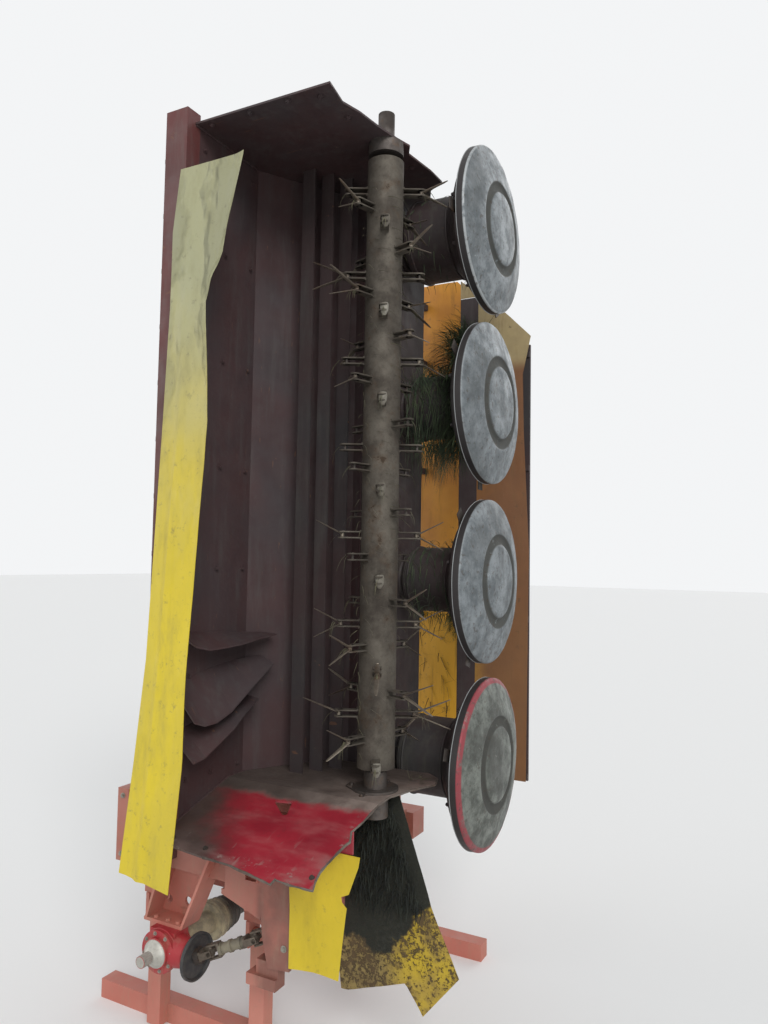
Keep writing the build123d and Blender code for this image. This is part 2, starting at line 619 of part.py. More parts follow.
with BuildPart() as hitch_frame:
    for side in (-1, 1):
        x = HITCH_X + side * (HITCH_SPAN / 2 - 12)
        block((x - 12, x + 12), (CROSS_Y[1], 850), (-620, -460))
        with BuildSketch(Plane.YZ.offset(HITCH_X + side * 36 - 8)):
            with BuildLine():
                Polyline((706, HITCH_Z + MAST - 70), (706, HITCH_Z + MAST + 45), (775, HITCH_Z + MAST + 45),
                         (800, HITCH_Z + MAST + 20), (800, HITCH_Z + MAST - 30), (706, HITCH_Z + MAST - 70))
            make_face()
            with Locations((765, HITCH_Z + MAST)):
                Circle(TOP_PIN_R, mode=Mode.SUBTRACT)
        extrude(amount=16)
    with BuildSketch(Plane.XZ.offset(-706)):
        for outline, mode in ((HEAD_OUTER, Mode.ADD), (HEAD_INNER, Mode.SUBTRACT)):
            with BuildLine():
                Polyline(*[(HITCH_X + x, z) for x, z in outline], close=True)
            make_face(mode=mode)
    extrude(amount=16)
keep("hitch_frame", hitch_frame)

with BuildPart() as hitch_pins:
    for side in (-1, 1):
        x = HITCH_X + side * (HITCH_SPAN / 2 + 60)
        with Locations(Location((x, HITCH_Y, HITCH_Z), (0, 90, 0))):
            Cylinder(HITCH_PIN_R, 120)
keep("hitch_pins", hitch_pins)

# Lift cylinder

lift_run = hypot(LIFT_EYE[0] - LIFT_FOOT[0], LIFT_EYE[1] - LIFT_FOOT[1])
lift_lean = degrees(atan2(LIFT_EYE[1] - LIFT_FOOT[1], LIFT_EYE[0] - LIFT_FOOT[0]))
LIFT = Location((LIFT_FOOT[0], LIFT_Y, LIFT_FOOT[1]), (0, 90 - lift_lean, 0))

with BuildPart() as lift_barrel:
    with Locations(LIFT * Pos(0, 0, 55)):
        Cylinder(22, 70)
    with Locations(LIFT * Pos(0, 0, sum(BARREL) / 2)):
        Cylinder(BARREL_R, BARREL[1] - BARREL[0])
    with Locations(LIFT * Pos(0, 0, sum(BARREL) / 2 + 20)):
        Cylinder(ROD_R + FIT, BARREL[1] - BARREL[0], mode=Mode.SUBTRACT)
    with Locations(Location((LIFT_FOOT[0], LIFT_Y, LIFT_FOOT[1]), (90, 0, 0))):
        Cylinder(40, 46)
        Cylinder(20, 104)
keep("lift_barrel", lift_barrel)

with BuildPart() as lift_rod:
    rod = (BARREL[0] + 40, lift_run - 25)
    with Locations(LIFT * Pos(0, 0, sum(rod) / 2)):
        Cylinder(ROD_R, rod[1] - rod[0])
    with Locations(Location((LIFT_EYE[0], LIFT_Y, LIFT_EYE[1]), (90, 0, 0))):
        Cylinder(38, 44)
        Cylinder(20.5, 44, mode=Mode.SUBTRACT)
keep("lift_rod", lift_rod)

# Parking stands: each skid lies ahead of its hinge, so that the load holds the leg on its stop

for name, (hinge_y, hinge_z) in (("rear_stand", REAR_HINGE), ("front_stand", FRONT_HINGE)):
    with BuildPart() as stand:
        half = LEG_W / 2
        skid_y = hinge_y + 62
        for x in (MAIN_ARM, LEFT_ARM):
            with Locations(Location((x, hinge_y, hinge_z), (0, 90, 0))):
                Cylinder(32, LEG_W + 8)
            block((x - half, x + half), (hinge_y - 30, hinge_y + 30), (FLOOR + 60, hinge_z))
            with Locations(Location((x, hinge_y, hinge_z), (0, 90, 0))):
                Cylinder(16 + FIT, LEG_W + 10, mode=Mode.SUBTRACT)
            block((x - half, x + half), (hinge_y - 30, skid_y + 40), (FLOOR + 8, FLOOR + 78))
        block(SKID_X, (skid_y - 40, skid_y + 40), (FLOOR, FLOOR + 80))
    keep(name, stand)

with BuildPart() as stand_lugs:
    for y, z in (REAR_HINGE, FRONT_HINGE):
        seat = ARM_LOW - 5 if y > 0 else ARM_LOW
        for x in (MAIN_ARM, LEFT_ARM):
            with Locations(Location((x, y, z), (0, 90, 0))):
                Cylinder(16, LEG_W + 50)
            for side in (-1, 1):
                middle = x + side * (LEG_W / 2 + 13)
                block((middle - 8, middle + 8), (y - 36, y + 36), (z - 36, seat))
keep("stand_lugs", stand_lugs)

# Origin on the floor under the middle, labels and files

outline = Compound([builder.part for builder in pieces.values()]).bounding_box()
ORIGIN = (outline.center().X, outline.center().Y, outline.min.Z)

for name, builder in pieces.items():
    placed = builder.part.moved(Location((-ORIGIN[0], -ORIGIN[1], -ORIGIN[2])))
    placed.label = name
    export_step(placed, f"parts/{name}.step")
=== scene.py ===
"""Dresses the folded drum mower: worn paint, scoured steel, creased canvas and its fastenings.

Metres. The places below are counted as in the part's own source, from the centre of the lowest
dish at its rim, with X to the machine's right, Y the driving direction and Z up. The function
at() turns them into the shared frame.
"""

from math import cos, pi, radians, sin, tau

import bmesh
import bpy
from mathutils import Matrix, Vector, noise


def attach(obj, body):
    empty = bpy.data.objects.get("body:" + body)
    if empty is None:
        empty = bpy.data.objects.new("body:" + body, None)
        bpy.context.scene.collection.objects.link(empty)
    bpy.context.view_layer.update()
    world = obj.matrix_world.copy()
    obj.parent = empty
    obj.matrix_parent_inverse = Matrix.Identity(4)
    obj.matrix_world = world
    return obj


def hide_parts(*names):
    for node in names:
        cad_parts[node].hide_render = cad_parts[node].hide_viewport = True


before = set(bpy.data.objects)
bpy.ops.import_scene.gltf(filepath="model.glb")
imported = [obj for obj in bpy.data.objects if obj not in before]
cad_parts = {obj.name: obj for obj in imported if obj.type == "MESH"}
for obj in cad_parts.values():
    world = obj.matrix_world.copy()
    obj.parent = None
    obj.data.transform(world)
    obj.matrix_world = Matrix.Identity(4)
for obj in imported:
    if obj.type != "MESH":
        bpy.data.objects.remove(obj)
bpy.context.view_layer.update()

ORIGIN = Vector((-0.86475, -0.145587, -1.123))
PITCH = 0.7625
DRUMS = 4
DISH_R = (0.3534, 0.3476, 0.3476, 0.3534)
NECK_R = (0.165, 0.140, 0.140, 0.180)
ROTOR = (-0.275, -0.500)
TUBE_R, SHAFT_R = 0.0725, 0.0249
TINE_ROWS, TINE_LOW, TINE_STEP, TINE_START, TINE_TURN = 27, 0.090, 0.085, 118, -45
LUG_R, TINE_R = 0.132, 0.285
# The tines are shorter within NEAR_BLADES of a drum's centre, counted along the rotor
SHORT_R, NEAR_BLADES = 0.250, 0.250
# So near the rotor's axis the tines have cut off what hung there
CUT_R = 0.278
WALL_TOP, WALL_FOLD = -0.028, -0.650
HOOD_UNDERSIDE = 2.495
FORK_R = 0.0085
SHARP_EDGE, BEVELLED_EDGE = radians(38), radians(40)


def at(x, y, z):
    """A place of the part's source, in the shared frame."""
    return Vector((x, y, z)) - ORIGIN


def lift(height):
    """A way straight up."""
    return Vector((0, 0, height))


def wobble(x, y, z):
    """Smooth noise round zero, the same on every run."""
    return noise.noise(Vector((x, y, z)))


def crumple(x, z, size, seed):
    """Sharp-edged creases, from 0 to about 1."""
    value = noise.ridged_multi_fractal(Vector((x / size, z / size * 0.55, seed)), 0.9, 2.1, 4, 1.0, 2.0)
    return min(1.0, max(0.0, value / 2.2))


def turns(count, start=0.0):
    """Angles in equal steps round a circle."""
    return [tau * k / count + start for k in range(count)]


def shade(colour, share):
    """A colour darkened to a share of itself."""
    return tuple(share * c for c in colour)


# Materials


class Paint:
    """One procedural material."""

    def __init__(self, name, metallic=0.0):
        self.material = bpy.data.materials.new(name)
        self.material.use_nodes = True
        self.tree = self.material.node_tree
        self.shader = self.tree.nodes["Principled BSDF"]
        self.shader.inputs["Metallic"].default_value = metallic
        self.place = self.add("ShaderNodeTexCoord").outputs["Object"]
        self.colour = None
        self.bumps = []

    def add(self, kind, inputs=None, **settings):
        made = self.tree.nodes.new(kind)
        for key, value in settings.items():
            setattr(made, key, value)
        for key, value in (inputs or {}).items():
            self.feed(made.inputs[key], value)
        return made

    def feed(self, socket, value):
        if isinstance(value, bpy.types.NodeSocket):
            self.tree.links.new(value, socket)
        elif isinstance(value, (tuple, list)) and len(value) == 3 and socket.type == "RGBA":
            socket.default_value = (*value, 1)
        else:
            socket.default_value = value

    def noise(self, scale, detail, roughness=0.55, vector=None):
        return self.add("ShaderNodeTexNoise", {
            "Vector": vector or self.place, "Scale": scale, "Detail": detail, "Roughness": roughness,
        }).outputs["Fac"]

    def streaks(self, scale, detail, roughness, vector=None):
        """Noise with a scale for each axis, so that it runs in streaks."""
        mapped = self.add("ShaderNodeMapping", {"Vector": vector or self.place, "Scale": scale})
        return self.noise(1.0, detail, roughness, mapped.outputs["Vector"])

    def ramp(self, value, low, high, start=0.0, end=1.0):
        """Value remapped smoothly from low..high to start..end."""
        return self.add("ShaderNodeMapRange", {
            "Value": value, "From Min": low, "From Max": high, "To Min": start, "To Max": end,
        }, interpolation_type="SMOOTHSTEP").outputs["Result"]

    def cloud(self, scale, detail, roughness, low, high, start=0.0, end=1.0):
        """Patches of noise, remapped as ramp() does."""
        return self.ramp(self.noise(scale, detail, roughness), low, high, start, end)

    def maths(self, operation, first, second):
        made = self.add("ShaderNodeMath", operation=operation)
        self.feed(made.inputs[0], first)
        self.feed(made.inputs[1], second)
        return made.outputs["Value"]

    def plus(self, first, second):
        return self.maths("ADD", first, second)

    def times(self, first, second):
        return self.maths("MULTIPLY", first, second)

    def most(self, first, second):
        return self.maths("MAXIMUM", first, second)

    def mix(self, share, first, second):
        made = self.add("ShaderNodeMix", data_type="RGBA")
        self.feed(made.inputs["Factor"], share)
        self.feed(made.inputs[6], first)
        self.feed(made.inputs[7], second)
        return made.outputs[2]

    def over(self, share, colour):
        """Another colour, laid over what is there by its share."""
        self.colour = self.mix(share, self.colour, colour)

    def axis(self, name, vector=None):
        return self.add("ShaderNodeSeparateXYZ", {"Vector": vector or self.place}).outputs[name]

    def bump(self, height, distance, strength):
        self.bumps.append({"Height": height, "Distance": distance, "Strength": strength})

    def finish(self, roughness):
        self.feed(self.shader.inputs["Base Color"], self.colour)
        self.feed(self.shader.inputs["Roughness"], roughness)
        for n, settings in enumerate(self.bumps):
            made = self.add("ShaderNodeBump", settings)
            if n:
                self.feed(made.inputs["Normal"], normal)
            normal = made.outputs["Normal"]
        self.feed(self.shader.inputs["Normal"], normal)
        return self.material


def worn_paint(name, colour, faded, dusty, dust=(0.30, 0.24, 0.16), rust=0.35, gloss=0.45, chips=0.62,
               soiled_and_shaded_from=None):
    """Old paint: faded in patches, streaked with dust, chipped to rust, and brown beyond soiled_and_shaded_from in X,
    with soil and painted shade.
    """
    paint = Paint(name)
    paint.colour = colour
    paint.over(paint.cloud(2.3, 5, 0.55, 0.35, 0.7), faded)
    if soiled_and_shaded_from is not None:
        # Brown beyond that X: soil and painted shade
        side = paint.ramp(paint.axis("X"), soiled_and_shaded_from - 0.01, soiled_and_shaded_from + 0.02, 0.35, 0.95)
        soil_and_shade = paint.mix(paint.noise(14, 7, 0.7), (0.155, 0.055, 0.042), (0.235, 0.105, 0.078))
        paint.over(paint.times(side, paint.cloud(5, 5, 0.55, 0.12, 0.48)), soil_and_shade)
    grain = paint.noise(38, 9, 0.7)
    streaks = paint.streaks((26, 26, 3.2), 7, 0.65)
    film = paint.times(paint.ramp(streaks, 0.46, 0.78), dusty)
    paint.over(film, dust)
    paint.over(paint.times(paint.ramp(grain, 0.5, 0.75), dusty * 0.7), shade(dust, 0.75))
    chip = paint.cloud(17, 10, 0.75, chips, chips + 0.05)
    scratch = paint.ramp(paint.streaks((6, 90, 14), 3, 0.5), 0.70, 0.73)
    bare = paint.times(paint.most(chip, paint.times(scratch, 0.6)), min(1.0, rust * 2))
    paint.over(bare, paint.mix(paint.noise(55, 4), (0.10, 0.045, 0.022), (0.22, 0.10, 0.05)))
    paint.bump(paint.times(bare, -1.0), 0.0006, 0.8)
    paint.bump(grain, 0.0007, 0.35)
    shine = paint.cloud(9, 4, 0.55, 0.3, 0.7, gloss, gloss + 0.22)
    return paint.finish(paint.most(shine, paint.times(film, 0.95)))


def scoured_steel(name, light, dark, stained, stain=(0.16, 0.09, 0.05), roughness=0.42):
    """Bare steel rubbed by soil and crop, with stains where it isn't."""
    paint = Paint(name, metallic=0.75)
    cloud = paint.noise(7, 8, 0.65)
    fine = paint.noise(90, 6, 0.7)
    paint.colour = paint.mix(paint.ramp(cloud, 0.35, 0.68), light, dark)
    paint.over(paint.ramp(fine, 0.45, 0.8, 0, 0.5), shade(dark, 0.5))
    spots = paint.times(paint.cloud(13, 8, 0.7, 0.5, 0.72), stained)
    paint.over(spots, stain)
    paint.bump(fine, 0.0008, 0.5)
    rough = paint.ramp(cloud, 0.3, 0.7, roughness, roughness + 0.25)
    return paint.finish(paint.most(rough, paint.times(spots, 1.6)))


def spun_steel(name, light, dark, edge, band_from, grime, dark_groove):
    """The dishes' steel. Its map "spin" holds the turn and the radius, so rings follow the radius."""
    paint = Paint(name, metallic=0.25)
    spin = paint.add("ShaderNodeUVMap", uv_map="spin").outputs["UV"]
    radius = paint.axis("Y", spin)
    rings = paint.streaks((6, 160, 1), 6, 0.7, spin)
    blots = paint.noise(15, 9, 0.72)
    broad = paint.noise(4.5, 5, 0.6)
    paint.colour = paint.mix(paint.ramp(blots, 0.38, 0.66), light, dark)
    paint.over(paint.ramp(broad, 0.42, 0.62, 0, 0.55), shade(dark, 0.8))
    paint.over(paint.ramp(rings, 0.5, 0.72, 0, 0.45), shade(dark, 0.5))
    mud = paint.mix(paint.noise(30, 5), (0.034, 0.037, 0.036), (0.075, 0.072, 0.060))
    in_groove = paint.times(paint.ramp(radius, 0.149, 0.157), paint.ramp(radius, 0.205, 0.196))
    dirt = paint.most(paint.times(in_groove, dark_groove), paint.times(paint.ramp(broad, 0.46, 0.7), grime))
    paint.over(dirt, mud)
    broken = paint.cloud(13, 8, 0.75, 0.66, 0.50)
    paint.over(paint.times(paint.ramp(radius, band_from, band_from + 0.006), broken), edge)
    pits = paint.cloud(46, 5, 0.6, 0.58, 0.64)
    paint.over(paint.times(pits, 0.6), (0.060, 0.045, 0.035))
    paint.over(paint.cloud(27, 8, 0.8, 0.60, 0.66, 0, 0.5), tuple(min(0.6, 1.5 * c) for c in light))
    # Painted shade on the rim's side, with a painted highlight along the back edge beyond it
    depth = paint.axis("X")
    paint.over(paint.ramp(depth, 0.8575, 0.8545), (0.030, 0.026, 0.026))
    paint.over(paint.ramp(depth, 0.8315, 0.8300, 0, 0.85), (0.30, 0.31, 0.31))
    paint.bump(rings, 0.0009, 0.6)
    paint.bump(blots, 0.0014, 0.6)
    rough = paint.ramp(blots, 0.3, 0.7, 0.42, 0.68)
    return paint.finish(paint.most(rough, paint.times(dirt, 0.9)))


def wall_paint(name):
    """The inner wall: red on the slope, bare and dusty round the rotor's foot, darkened towards the hood with caked
    dirt and painted shade.
    """
    paint = Paint(name)
    x, y = paint.axis("X"), paint.axis("Y")
    drift = paint.cloud(6, 7, 0.65, 0.25, 0.75, -0.05, 0.05)
    red = paint.mix(paint.cloud(3.5, 4, 0.5, 0.35, 0.65), (0.34, 0.020, 0.034), (0.235, 0.013, 0.024))
    haze = paint.streaks((5, 13, 5), 7, 0.6)
    red = paint.mix(paint.ramp(haze, 0.42, 0.80, 0, 0.42), red, (0.40, 0.16, 0.15))
    bare = paint.mix(paint.cloud(9, 7, 0.65, 0.35, 0.7), (0.27, 0.215, 0.185), (0.145, 0.108, 0.092))
    # Near-black brown: caked dirt together with painted shade
    caked_and_shaded = paint.mix(paint.noise(13, 8, 0.7), (0.040, 0.030, 0.028), (0.080, 0.060, 0.048))
    level = paint.ramp(paint.plus(y, paint.times(drift, 0.5)), -0.590, -0.545)
    paint.colour = paint.mix(level, red, bare)
    # Dark brown towards the hood, and again towards the gear beam: caked dirt and painted shade
    side = paint.plus(paint.plus(x, paint.times(y, 0.63)), drift)
    paint.over(paint.ramp(side, -0.15, -0.40, 0, 0.96), caked_and_shaded)
    paint.over(paint.ramp(paint.plus(y, drift), -0.36, -0.16, 0, 0.85), caked_and_shaded)
    paint.over(paint.times(level, paint.ramp(paint.plus(x, drift), 0.62, 0.30, 0, 0.85)), caked_and_shaded)
    # Scratches to grey metal, closest at the torn rear edge
    scratch = paint.ramp(paint.streaks((24, 5, 5), 4, 0.6), 0.62, 0.66)
    scratch = paint.times(scratch, paint.ramp(y, -0.70, -0.86))
    margin = paint.most(paint.ramp(y, -0.85, -0.94), paint.ramp(x, 0.63, 0.69))
    worn = paint.times(paint.cloud(26, 9, 0.75, 0.58, 0.62), margin)
    paint.over(paint.most(paint.times(scratch, 0.28), paint.times(worn, 0.6)), (0.33, 0.27, 0.24))
    paint.over(paint.times(margin, paint.ramp(haze, 0.45, 0.7, 0, 0.5)), (0.26, 0.17, 0.15))
    grain = paint.noise(38, 9, 0.7)
    paint.over(paint.ramp(grain, 0.55, 0.75, 0, 0.35), (0.060, 0.030, 0.026))
    paint.bump(paint.times(worn, -1.0), 0.0008, 0.8)
    paint.bump(paint.noise(7, 5), 0.006, 0.5)
    paint.bump(grain, 0.0008, 0.35)
    return paint.finish(paint.ramp(haze, 0.3, 0.8, 0.40, 0.72))


def shadowed_caked_canvas(name):
    """The canvas under the cutters: black above, with painted shadow and packed crop, speckled yellow where it is
    rubbed.
    """
    paint = Paint(name)
    x = paint.plus(paint.axis("X"), -0.865)
    z = paint.plus(paint.axis("Z"), -1.123)
    edge = paint.plus(paint.times(paint.most(paint.plus(x, 0.25), 0.0), 1.3), -0.652)
    ragged = paint.cloud(9, 7, 0.65, 0.25, 0.75, -0.035, 0.035)
    above = paint.plus(paint.maths("SUBTRACT", z, edge), ragged)
    yellow = paint.mix(paint.cloud(6, 5, 0.55, 0.35, 0.65), (0.50, 0.355, 0.022), (0.38, 0.265, 0.040))
    yellow = paint.mix(paint.ramp(x, -0.16, -0.32, 0, 0.8), yellow, (0.20, 0.155, 0.068))
    grime = paint.mix(paint.noise(24, 6), (0.026, 0.018, 0.012), (0.080, 0.052, 0.026))
    near = paint.ramp(above, -0.22, 0.0, 0.0, 0.075)
    uneven = paint.plus(near, paint.cloud(7, 5, 0.6, 0.3, 0.7, -0.05, 0.05))
    cover = paint.plus(paint.noise(58, 9, 0.75), uneven)
    paint.colour = paint.mix(paint.ramp(cover, 0.520, 0.575, 0, 0.92), yellow, grime)
    film = paint.plus(paint.noise(14, 8, 0.75), near)
    paint.over(paint.ramp(film, 0.46, 0.66, 0, 0.65), (0.12, 0.080, 0.036))
    # Black above the ragged edge: painted shadow over the upper canvas, with packed crop
    black = paint.mix(paint.noise(26, 8, 0.75), (0.008, 0.009, 0.008), (0.030, 0.032, 0.020))
    paint.over(paint.ramp(above, -0.012, 0.018), black)
    paint.bump(paint.ramp(cover, 0.52, 0.62), 0.0014, 0.8)
    paint.bump(paint.noise(22, 6, 0.6), 0.004, 0.5)
    return paint.finish(paint.ramp(cover, 0.4, 0.6, 0.6, 0.9))


def bell_plastic(name):
    """The drive's bell: dusty beige at its mouth, grey and black further in."""
    paint = Paint(name)
    depth = paint.plus(paint.axis("Y"), paint.cloud(18, 7, 0.7, 0.3, 0.7, -0.018, 0.018))
    dusty = paint.mix(paint.cloud(24, 7, 0.7, 0.35, 0.65), (0.35, 0.30, 0.19), (0.20, 0.175, 0.12))
    black = paint.mix(paint.noise(14, 6), (0.030, 0.030, 0.030), (0.095, 0.085, 0.068))
    paint.bump(paint.noise(60, 6), 0.0006, 0.5)
    paint.colour = paint.mix(paint.ramp(depth, -0.420, -0.370), dusty, black)
    return paint.finish(0.65)


def coated_canvas(name, clean, dirt, soiled, faded=None, fade=None):
    """Coated cloth: a fine weave under the coating, faded from one height to another, with painted shade in its folds
    there, and rubbed-in dirt.
    """
    paint = Paint(name)
    paint.colour = paint.mix(paint.cloud(3.1, 4, 0.55, 0.35, 0.7, 0, 0.35), clean, shade(clean, 0.78))
    if faded:
        height = paint.plus(paint.axis("Z"), paint.cloud(1.7, 3, 0.55, 0.2, 0.8, -0.25, 0.25))
        paint.over(paint.ramp(height, *fade), faded)
        # Painted shade in the folds of the faded part, stronger higher up
        painted_fold_shade = paint.ramp(paint.streaks((7, 7, 3), 3, 0.5), 0.44, 0.58, 0, 0.5)
        painted_fold_shade = paint.times(painted_fold_shade, paint.ramp(height, *fade, 0.15, 1.0))
        paint.over(painted_fold_shade, shade(faded, 0.62))
        paint.bump(painted_fold_shade, 0.05, 0.8)
    smears = paint.streaks((16, 16, 5), 8, 0.68)
    paint.over(paint.ramp(smears, 0.47, 0.78, 0, soiled), dirt)
    paint.over(paint.cloud(34, 8, 0.75, 0.56, 0.68, 0, soiled * 1.3), shade(dirt, 0.6))
    threads = (paint.add("ShaderNodeTexWave", {"Vector": paint.place, "Scale": 130.0}, bands_direction=way)
               for way in "XZ")
    paint.bump(paint.plus(*(thread.outputs["Fac"] for thread in threads)), 0.0004, 0.35)
    paint.bump(paint.noise(22, 6, 0.6), 0.003, 0.5)
    return paint.finish(paint.ramp(smears, 0.3, 0.8, 0.42, 0.75))


def front_sheet_canvas(name, shadow_and_flap):
    """The front guard's canvas: orange by the beam, brighter lower down with painted sunlight through it; brown
    beyond the rail with painted shadow.
    """
    paint = Paint(name)
    clean = paint.mix(paint.cloud(4, 6, 0.6, 0.3, 0.7), (0.58, 0.25, 0.022), (0.44, 0.17, 0.02))
    # Brighter orange lower down: painted sunlight through the cloth
    paint.colour = paint.mix(paint.ramp(paint.axis("Z"), 1.95, 1.55), clean, (0.64, 0.33, 0.018))
    if shadow_and_flap:
        # Brown beyond the rail: painted shadow
        painted_shadow_brown = paint.mix(paint.noise(9, 6), (0.115, 0.050, 0.026), (0.20, 0.088, 0.036))
        inner = paint.plus(paint.axis("X"), paint.cloud(3, 6, 0.6, 0.2, 0.8, -0.10, 0.10))
        paint.over(paint.ramp(inner, 0.50, 0.70, 0.45, 0.95), painted_shadow_brown)
        flap = paint.mix(paint.noise(25, 7), (0.25, 0.19, 0.10), (0.40, 0.31, 0.15))
        paint.over(paint.ramp(paint.axis("Z"), 2.93, 3.02), flap)
    runs = paint.streaks((30, 30, 3), 8, 0.7)
    paint.over(paint.ramp(runs, 0.5, 0.76, 0, 0.6), (0.15, 0.085, 0.03))
    paint.over(paint.cloud(19, 8, 0.75, 0.60, 0.66, 0, 0.55), (0.07, 0.045, 0.022))
    paint.bump(paint.noise(24, 6, 0.6), 0.003, 0.4)
    return paint.finish(paint.ramp(runs, 0.3, 0.8, 0.5, 0.78))


def plain(name, colour, other, scale, roughness):
    """Plastic, rubber or grass: two close tones and a fine grain."""
    paint = Paint(name)
    fine = paint.noise(scale, 7, 0.65)
    paint.bump(fine, 0.001, 0.5)
    paint.colour = paint.mix(paint.ramp(fine, 0.35, 0.7), colour, other)
    return paint.finish(paint.cloud(12, 3, 0.55, 0.3, 0.7, roughness, min(1.0, roughness + 0.2)))


# The post beam's leg plate is browner: soil and painted shade
SALMON, LEG_SALMON = (
    worn_paint(name, (0.43, 0.135, 0.098), (0.50, 0.20, 0.15), dusty=0.36, rust=0.3, chips=0.66, soiled_and_shaded_from=soiled)
    for name, soiled in (("salmon_paint", None), ("shaded_dirty_salmon_paint", 0.270))
)
CASTING = worn_paint("casting_paint", (0.32, 0.012, 0.021), (0.37, 0.034, 0.038), dusty=0.4, gloss=0.36, chips=0.68)
WALL_RED = wall_paint("wall_paint")
HOOD = worn_paint("hood_paint", (0.054, 0.025, 0.025), (0.040, 0.029, 0.031), dust=(0.070, 0.060, 0.057),
                  dusty=0.6, rust=0.35, gloss=0.58, chips=0.66)
SHADED = worn_paint("shaded_hood_paint", (0.040, 0.022, 0.022), (0.030, 0.026, 0.027), dust=(0.060, 0.054, 0.048),
                    dusty=0.6, rust=0.4, gloss=0.6, chips=0.64)
BAR_RED = worn_paint("bar_paint", (0.105, 0.026, 0.024), (0.080, 0.034, 0.032), dust=(0.12, 0.095, 0.085),
                     dusty=0.5, gloss=0.5)
DRUM_PAINT = worn_paint("drum_paint", (0.038, 0.022, 0.022), (0.032, 0.030, 0.030), dust=(0.065, 0.062, 0.050),
                        dusty=0.75, rust=0.25, gloss=0.55, chips=0.68)
STEEL = scoured_steel("scoured_steel", (0.36, 0.36, 0.34), (0.20, 0.19, 0.18), stained=0.35)
DARK_STEEL = scoured_steel("dark_steel", (0.12, 0.105, 0.095), (0.06, 0.050, 0.045), stained=0.6, roughness=0.5)
ROTOR_STEEL = scoured_steel("rotor_steel", (0.130, 0.115, 0.094), (0.078, 0.066, 0.055),
                            stain=(0.10, 0.068, 0.046), stained=0.8, roughness=0.65)
TINE_STEEL = scoured_steel("tine_steel", (0.25, 0.215, 0.17), (0.115, 0.092, 0.074),
                           stain=(0.15, 0.085, 0.05), stained=0.6, roughness=0.5)
WORN_ROOT = scoured_steel("worn_root_steel", (0.25, 0.235, 0.20), (0.15, 0.132, 0.108),
                          stain=(0.11, 0.085, 0.06), stained=0.6, roughness=0.65)
DUSTY_STEEL = scoured_steel("dusty_steel", (0.40, 0.39, 0.34), (0.26, 0.25, 0.215),
                            stain=(0.30, 0.27, 0.20), stained=0.7, roughness=0.6)
STUB = scoured_steel("stub_steel", (0.55, 0.54, 0.49), (0.38, 0.365, 0.33), stain=(0.34, 0.31, 0.25), stained=0.5,
                     roughness=0.55)
LIP = scoured_steel("lip_steel", (0.22, 0.185, 0.16), (0.11, 0.088, 0.076), stained=0.6, roughness=0.7)
DISH = spun_steel("dish_steel", (0.215, 0.238, 0.25), (0.105, 0.12, 0.128), (0.36, 0.38, 0.385), 0.344, 0.3, 0.92)
LOW_DISH = spun_steel("low_dish_steel", (0.185, 0.20, 0.175), (0.070, 0.076, 0.066), (0.26, 0.045, 0.055), 0.328,
                      0.75, 0.95)
YELLOW = coated_canvas("curtain_canvas", (0.62, 0.48, 0.020), (0.19, 0.17, 0.10), 0.35,
                       faded=(0.33, 0.325, 0.185), fade=(1.85, 3.1))
PANEL = coated_canvas("panel_canvas", (0.60, 0.45, 0.012), (0.18, 0.14, 0.05), 0.25)
SHADOWED_CAKED = shadowed_caked_canvas("shadowed_caked_canvas")
# The front sheet in two copies: orange with painted sunlight low down, and brown with painted shadow beyond the rail
ORANGE = front_sheet_canvas("front_canvas_orange", False)
BROWN = front_sheet_canvas("front_canvas_brown", True)
PLASTIC = plain("black_plastic", (0.022, 0.022, 0.024), (0.05, 0.047, 0.043), 40, 0.5)
BELL = bell_plastic("bell_plastic")
DUSTY_PLASTIC = plain("dusty_plastic", (0.20, 0.175, 0.12), (0.085, 0.077, 0.062), 11, 0.6)
GRASS = plain("cut_grass", (0.026, 0.045, 0.024), (0.080, 0.105, 0.050), 9, 0.7)
# Near-black grass: packed crop with painted shadow under the cutters; the stalks on the front canvas use it too
PACKED = plain("packed_grass", (0.008, 0.010, 0.009), (0.021, 0.025, 0.017), 14, 0.85)
FRESH = plain("fresh_grass", (0.060, 0.105, 0.045), (0.15, 0.18, 0.085), 12, 0.7)
STRAW = plain("dry_grass", (0.14, 0.13, 0.075), (0.060, 0.058, 0.036), 11, 0.75)


# Mesh helpers


def placed(name, data):
    """A new object in the scene."""
    made = bpy.data.objects.new(name, data)
    bpy.context.scene.collection.objects.link(made)
    return made


def piece(name, bm, material, body, smooth=True):
    """An object from a bmesh, riding on a body."""
    mesh = bpy.data.meshes.new(name)
    bm.to_mesh(mesh)
    bm.free()
    if smooth:
        mesh.shade_smooth()
        mesh.set_sharp_from_angle(angle=SHARP_EDGE)
    made = placed(name, mesh)
    made.data.materials.append(material)
    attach(made, body)
    return made


def turned_to(direction):
    """The rotation that takes +Z to a direction."""
    return Vector(direction).to_track_quat("Z", "Y").to_matrix().to_4x4()


def add_rod(bm, start, end, radius, sides, end_radius=None):
    """A round bar, or a cone where the end has a radius of its own."""
    place = Matrix.Translation((start + end) / 2) @ turned_to(end - start)
    bmesh.ops.create_cone(bm, cap_ends=True, segments=sides, radius1=radius,
                          radius2=radius if end_radius is None else end_radius,
                          depth=(end - start).length, matrix=place)


def add_block(bm, centre, size, turn=None, bevel=0.002):
    """A block with rounded edges."""
    place = Matrix.Translation(centre) @ (turn or Matrix.Identity(4)) @ Matrix.Diagonal((*size, 1))
    made = bmesh.ops.create_cube(bm, size=1, matrix=place)
    edges = list({edge for vert in made["verts"] for edge in vert.link_edges})
    bmesh.ops.bevel(bm, geom=edges, offset=bevel, segments=2, affect="EDGES", profile=0.6)


